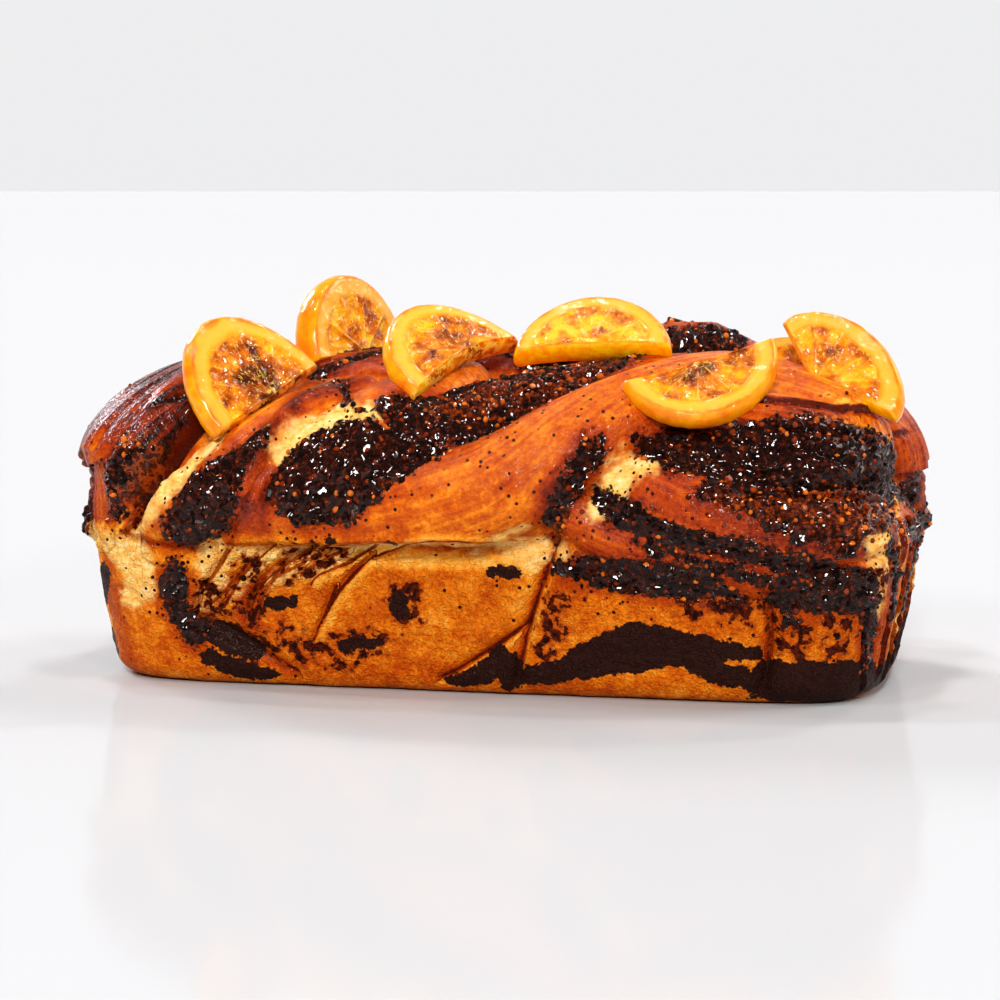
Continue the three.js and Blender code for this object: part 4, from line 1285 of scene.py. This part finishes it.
def slice_material():
    """Candied orange: rind, pith, membranes and flesh under syrup."""
    n = Nodes(bpy.data.materials.new("candied_orange"))
    place = n.place_mm()
    radius, on_face, brown = n.fact("radius"), n.fact("on_face"), n.fact("brown")
    mottle = n.noise(place, 2.2, 4, 0.6)
    edge = n.plus(radius, n.swing(place, 5, 0.16, 3))
    outward = n.mapped(edge, FLESH_RADIUS, 1.0, kind="LINEAR")
    pith = n.ramp(n.plus(outward, n.times(n.minus(mottle, 0.5), 0.25)), PITH_COLOURS)

    # Amber flesh, browner towards the hub, with blotches of caramel.
    tone = n.plus(n.times(n.noise(place, 6, 4), 0.8), n.times(mottle, 0.2))
    tone = n.minus(tone, n.times(brown, n.mapped(radius, 0.75, 0.2, 0.03, 0.22)))
    flesh = n.ramp(n.plus(tone, n.mapped(brown, 0.7, 0.0, 0.0, 0.07)), FLESH_COLOURS)
    # Each juice sac is a long cell that points at the hub, with a pale skin.
    sac_at = n.joined(n.times(n.fact("wedge"), 2.4), n.times(radius, 3.4), n.times(brown, 9))
    bend = n.add("ShaderNodeTexNoise", {"Vector": place, "Scale": 0.35, "Detail": 3.0})
    sacs = n.cells(n.vector("ADD", sac_at, bend.outputs["Color"]), 0.42, "DISTANCE_TO_EDGE")
    skin = n.mapped(sacs.outputs["Distance"], 0.07, 0.02)
    skin = n.times(skin, n.mapped(n.noise(place, 1.7, 3, 0.6), 0.47, 0.58, 0.0, 0.85))
    line = n.times(n.mapped(n.fact("membrane"), 0.4, 0.15, 0, 0.6), n.mapped(mottle, 0.47, 0.56))
    threads = n.math("MAXIMUM", skin, line)
    flesh = n.mix(threads, flesh, THREAD_COLOUR)
    face = n.mix(n.mapped(edge, FLESH_RADIUS - 0.025, FLESH_RADIUS + 0.01), flesh, pith)
    bright_cut = n.mix(n.mapped(mottle, 0.35, 0.65), *CUT_COLOURS)
    cut = n.mix(n.mapped(brown, 0.3, 0.45), bright_cut, flesh)
    rind = n.ramp(n.noise(place, 6, 3), RIND_COLOURS)
    side = n.mix(n.fact("cut_side"), rind, cut)

    inner = n.times(n.mapped(edge, FLESH_RADIUS, FLESH_RADIUS - 0.05), on_face)
    pulp = n.plus(n.times(threads, 0.5), n.times(n.noise(place, 1.2, 3, 0.6), 1.5))
    height = n.plus(n.times(pulp, inner), n.times(n.noise(place, 1.6), 0.3))
    syrup = n.times(n.noise(place, 1.9, 2, 0.5), n.plus(inner, 0.25))
    smooth_syrup = n.bump(syrup, 1.0, 1.2)
    sparkling = n.facets(place, 1.5, 0.95, n.normal())
    n.surface(
        {
            "Base Color": n.mix(on_face, side, face),
            "Roughness": 0.3,
            "Subsurface Weight": 0.4,
            "Subsurface Radius": (1.0, 0.4, 0.06),
            "Subsurface Scale": 2.5 * MM,
            "Specular IOR Level": BASE_SPECULAR,
            "Normal": n.bump(height, 0.6, 0.9),
            "Coat Weight": 0.75,
            "Coat Roughness": 0.04,
            "Coat Normal": n.mix(inner, smooth_syrup, sparkling),
        }
    )
    return n.owner


# ---- Studio ----

FLOOR_REACH = 60000
FLOOR_COLOUR = (0.56, 0.555, 0.56, 1)
FLOOR_SHINE = {"roughness": 0.1, "share": 0.09}
BACKDROP_COLOUR = (0.72, 0.72, 0.73, 1)
SURROUND_COLOUR = (0.96, 0.97, 1.0, 1)
SURROUND_LIGHT = 0.13
BACKDROP_LIGHT = 1.0
# Where the backdrop grows light, behind the object and low down.
BACKDROP_SPAN = (("Y", 0.1, 0.8), ("Z", 0.75, 0.3))
# Soft lights far away: where each comes from, how wide it looks in degrees, its strength and colour.
SOFT_LIGHTS = [
    ("back_right", (0.8, 0.42, 0.6), 26, 0.8, (1.0, 0.985, 0.96)),
    ("back_left", (-0.68, 0.5, 0.46), 16, 1.1, (0.9, 0.93, 1.0)),
    ("front", (0.15, -1.0, 0.6), 10, 1.5, (1.0, 0.99, 0.97)),
]
# Small distant lights that give the glaze its sparkles: where each comes from.
GLINTS = [
    (-0.22, -0.4, 0.9),
    (-0.2, 0.2, 0.96),
    (0.3, -0.15, 0.95),
    (-0.65, 0.0, 0.78),
    (-0.25, -0.85, 0.5),
    (0.55, -0.75, 0.35),
    (0.25, 0.6, 0.75),
]
GLINT_ANGLE = 6
GLINT_STRENGTH = 0.42
WHITE = (1.0, 1.0, 1.0)


def soft_light(name, came_from, angle, strength, colour):
    data = bpy.data.lights.new(name, "SUN")
    data.angle = math.radians(angle)
    data.energy = strength
    data.color = colour
    placed(name, data).rotation_euler = Vector(came_from).to_track_quat("Z", "Y").to_euler()


def make_floor():
    reach = FLOOR_REACH * MM
    corners = [(-reach, -reach, 0), (reach, -reach, 0), (reach, reach, 0), (-reach, reach, 0)]
    mesh = bpy.data.meshes.new("floor")
    mesh.from_pydata(corners, [], [(0, 1, 2, 3)])
    floor = placed("floor", mesh)
    n = Nodes(bpy.data.materials.new("floor"))
    n.tree.nodes.clear()
    matte = n.add("ShaderNodeBsdfDiffuse", {"Color": FLOOR_COLOUR})
    shine = n.add("ShaderNodeBsdfGlossy", {"Roughness": FLOOR_SHINE["roughness"]})
    n.blend(FLOOR_SHINE["share"], matte, shine, n.add("ShaderNodeOutputMaterial"))
    mesh.materials.append(n.owner)


def make_surround():
    """Light from all round, brighter low down behind the object, and a plain pale backdrop."""
    bpy.context.scene.world = bpy.data.worlds.new("studio")
    n = Nodes(bpy.context.scene.world)
    way = n.add("ShaderNodeSeparateXYZ", {0: n.add("ShaderNodeTexCoord").outputs["Generated"]})
    shares = [n.mapped(way.outputs[axis], low, high) for axis, low, high in BACKDROP_SPAN]
    strength = n.mapped(n.times(*shares), 0, 1, SURROUND_LIGHT, BACKDROP_LIGHT, "LINEAR")
    light = n.tree.nodes["Background"]
    n.put(SURROUND_COLOUR, light.inputs["Color"])
    n.put(strength, light.inputs["Strength"])
    seen = n.add("ShaderNodeBackground", {"Color": BACKDROP_COLOUR})
    to_camera = n.add("ShaderNodeLightPath").outputs["Is Camera Ray"]
    n.blend(to_camera, light, seen, n.tree.nodes["World Output"])


def make_camera():
    level = math.cos(CAMERA_ELEVATION)
    back = (math.sin(CAMERA_YAW) * level, -math.cos(CAMERA_YAW) * level, math.sin(CAMERA_ELEVATION))
    back = Vector(back)
    data = bpy.data.cameras.new("camera")
    data.lens = CAMERA_LENS
    data.sensor_width = CAMERA_SENSOR
    data.shift_x, data.shift_y = CAMERA_SHIFT
    data.clip_end = CAMERA_SEES_TO * MM
    camera = placed("camera", data)
    camera.location = (Vector(CAMERA_TARGET) + back * CAMERA_DISTANCE) * MM
    camera.rotation_euler = back.to_track_quat("Z", "Y").to_euler()
    bpy.context.scene.camera = camera


# ---- The scene ----

make_camera()
make_floor()
make_surround()
for light in SOFT_LIGHTS:
    soft_light(*light)
for number, came_from in enumerate(GLINTS, start=1):
    soft_light(f"glint_{number}", came_from, GLINT_ANGLE, GLINT_STRENGTH, WHITE)
bpy.context.scene.view_settings.view_transform = "Standard"
bpy.context.scene.view_settings.look = "Medium High Contrast"

points, faces, foot, facts = build_crust()
loaf = make_loaf(points, faces, foot, facts)
loaf.data.materials.append(loaf_material())
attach(loaf, "root")
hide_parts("loaf")

draw = np.random.default_rng(SEED_DRAW)


def lay_seeds(name, chance, count, gap):
    """Seeds scattered on the crust by the chance at each face, none nearer than the gap."""
    places, out = scatter(draw, points, faces, chance, count)
    kept = thin_out(places, gap)
    return seeds_object(name, draw, places[kept], out[kept])


# Dark seeds lie thick at the filling's rim and in clumps within it, with a few on the crust.
mean = {fact: facts[fact][faces].mean(axis=1) for fact in ("seeded", "amber", "smudged", "bake")}
centres = points[faces].mean(axis=1)
clumps = smooth(rough(centres, 6, 2.9), 0.1, 0.5)
rim = smooth(mean["seeded"], -3.4, -1.4)
within = smooth(-mean["seeded"], -0.6, 0.6)
dark_chance = within * (0.03 + 0.97 * np.maximum(0.8 * rim, clumps))
dark_chance += 0.1 * smooth(-mean["seeded"], -1.8, -0.4) + 0.0006 * smooth(-mean["seeded"], -7, -1)
dark_chance += 0.05 * smooth(-mean["smudged"], -1.5, 0.5)
dark_chance += 0.03 * smooth(mean["bake"], 0.72, 0.85)
dark = lay_seeds("poppy_seeds", dark_chance, DARK_SEEDS, DARK_GAP)
dark.data.materials.append(seed_material("dark_seeds", DARK_SEED_COLOURS, 0.3))
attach(dark, "root")

# Amber seeds lie at the filling's edges and on the crest.
edge_chance = smooth(-mean["seeded"], -2.5, -0.5) * smooth(mean["seeded"], -2.5, -0.5)
amber_chance = 0.3 * edge_chance + smooth(-mean["amber"], -1, 1)
amber_chance += within * (0.12 + 0.45 * smooth(centres[:, 2], 70, 78))
amber = lay_seeds("amber_seeds", amber_chance, AMBER_SEEDS, AMBER_GAP)
amber.data.materials.append(seed_material("amber_seeds", AMBER_SEED_COLOURS, 0.25))
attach(amber, "root")

orange = slice_material()
for number, row in enumerate(SLICES, start=1):
    piece = make_slice(number, *row)
    piece.data.materials.append(orange)
    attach(piece, "root")
    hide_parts(f"orange_slice_{number}")
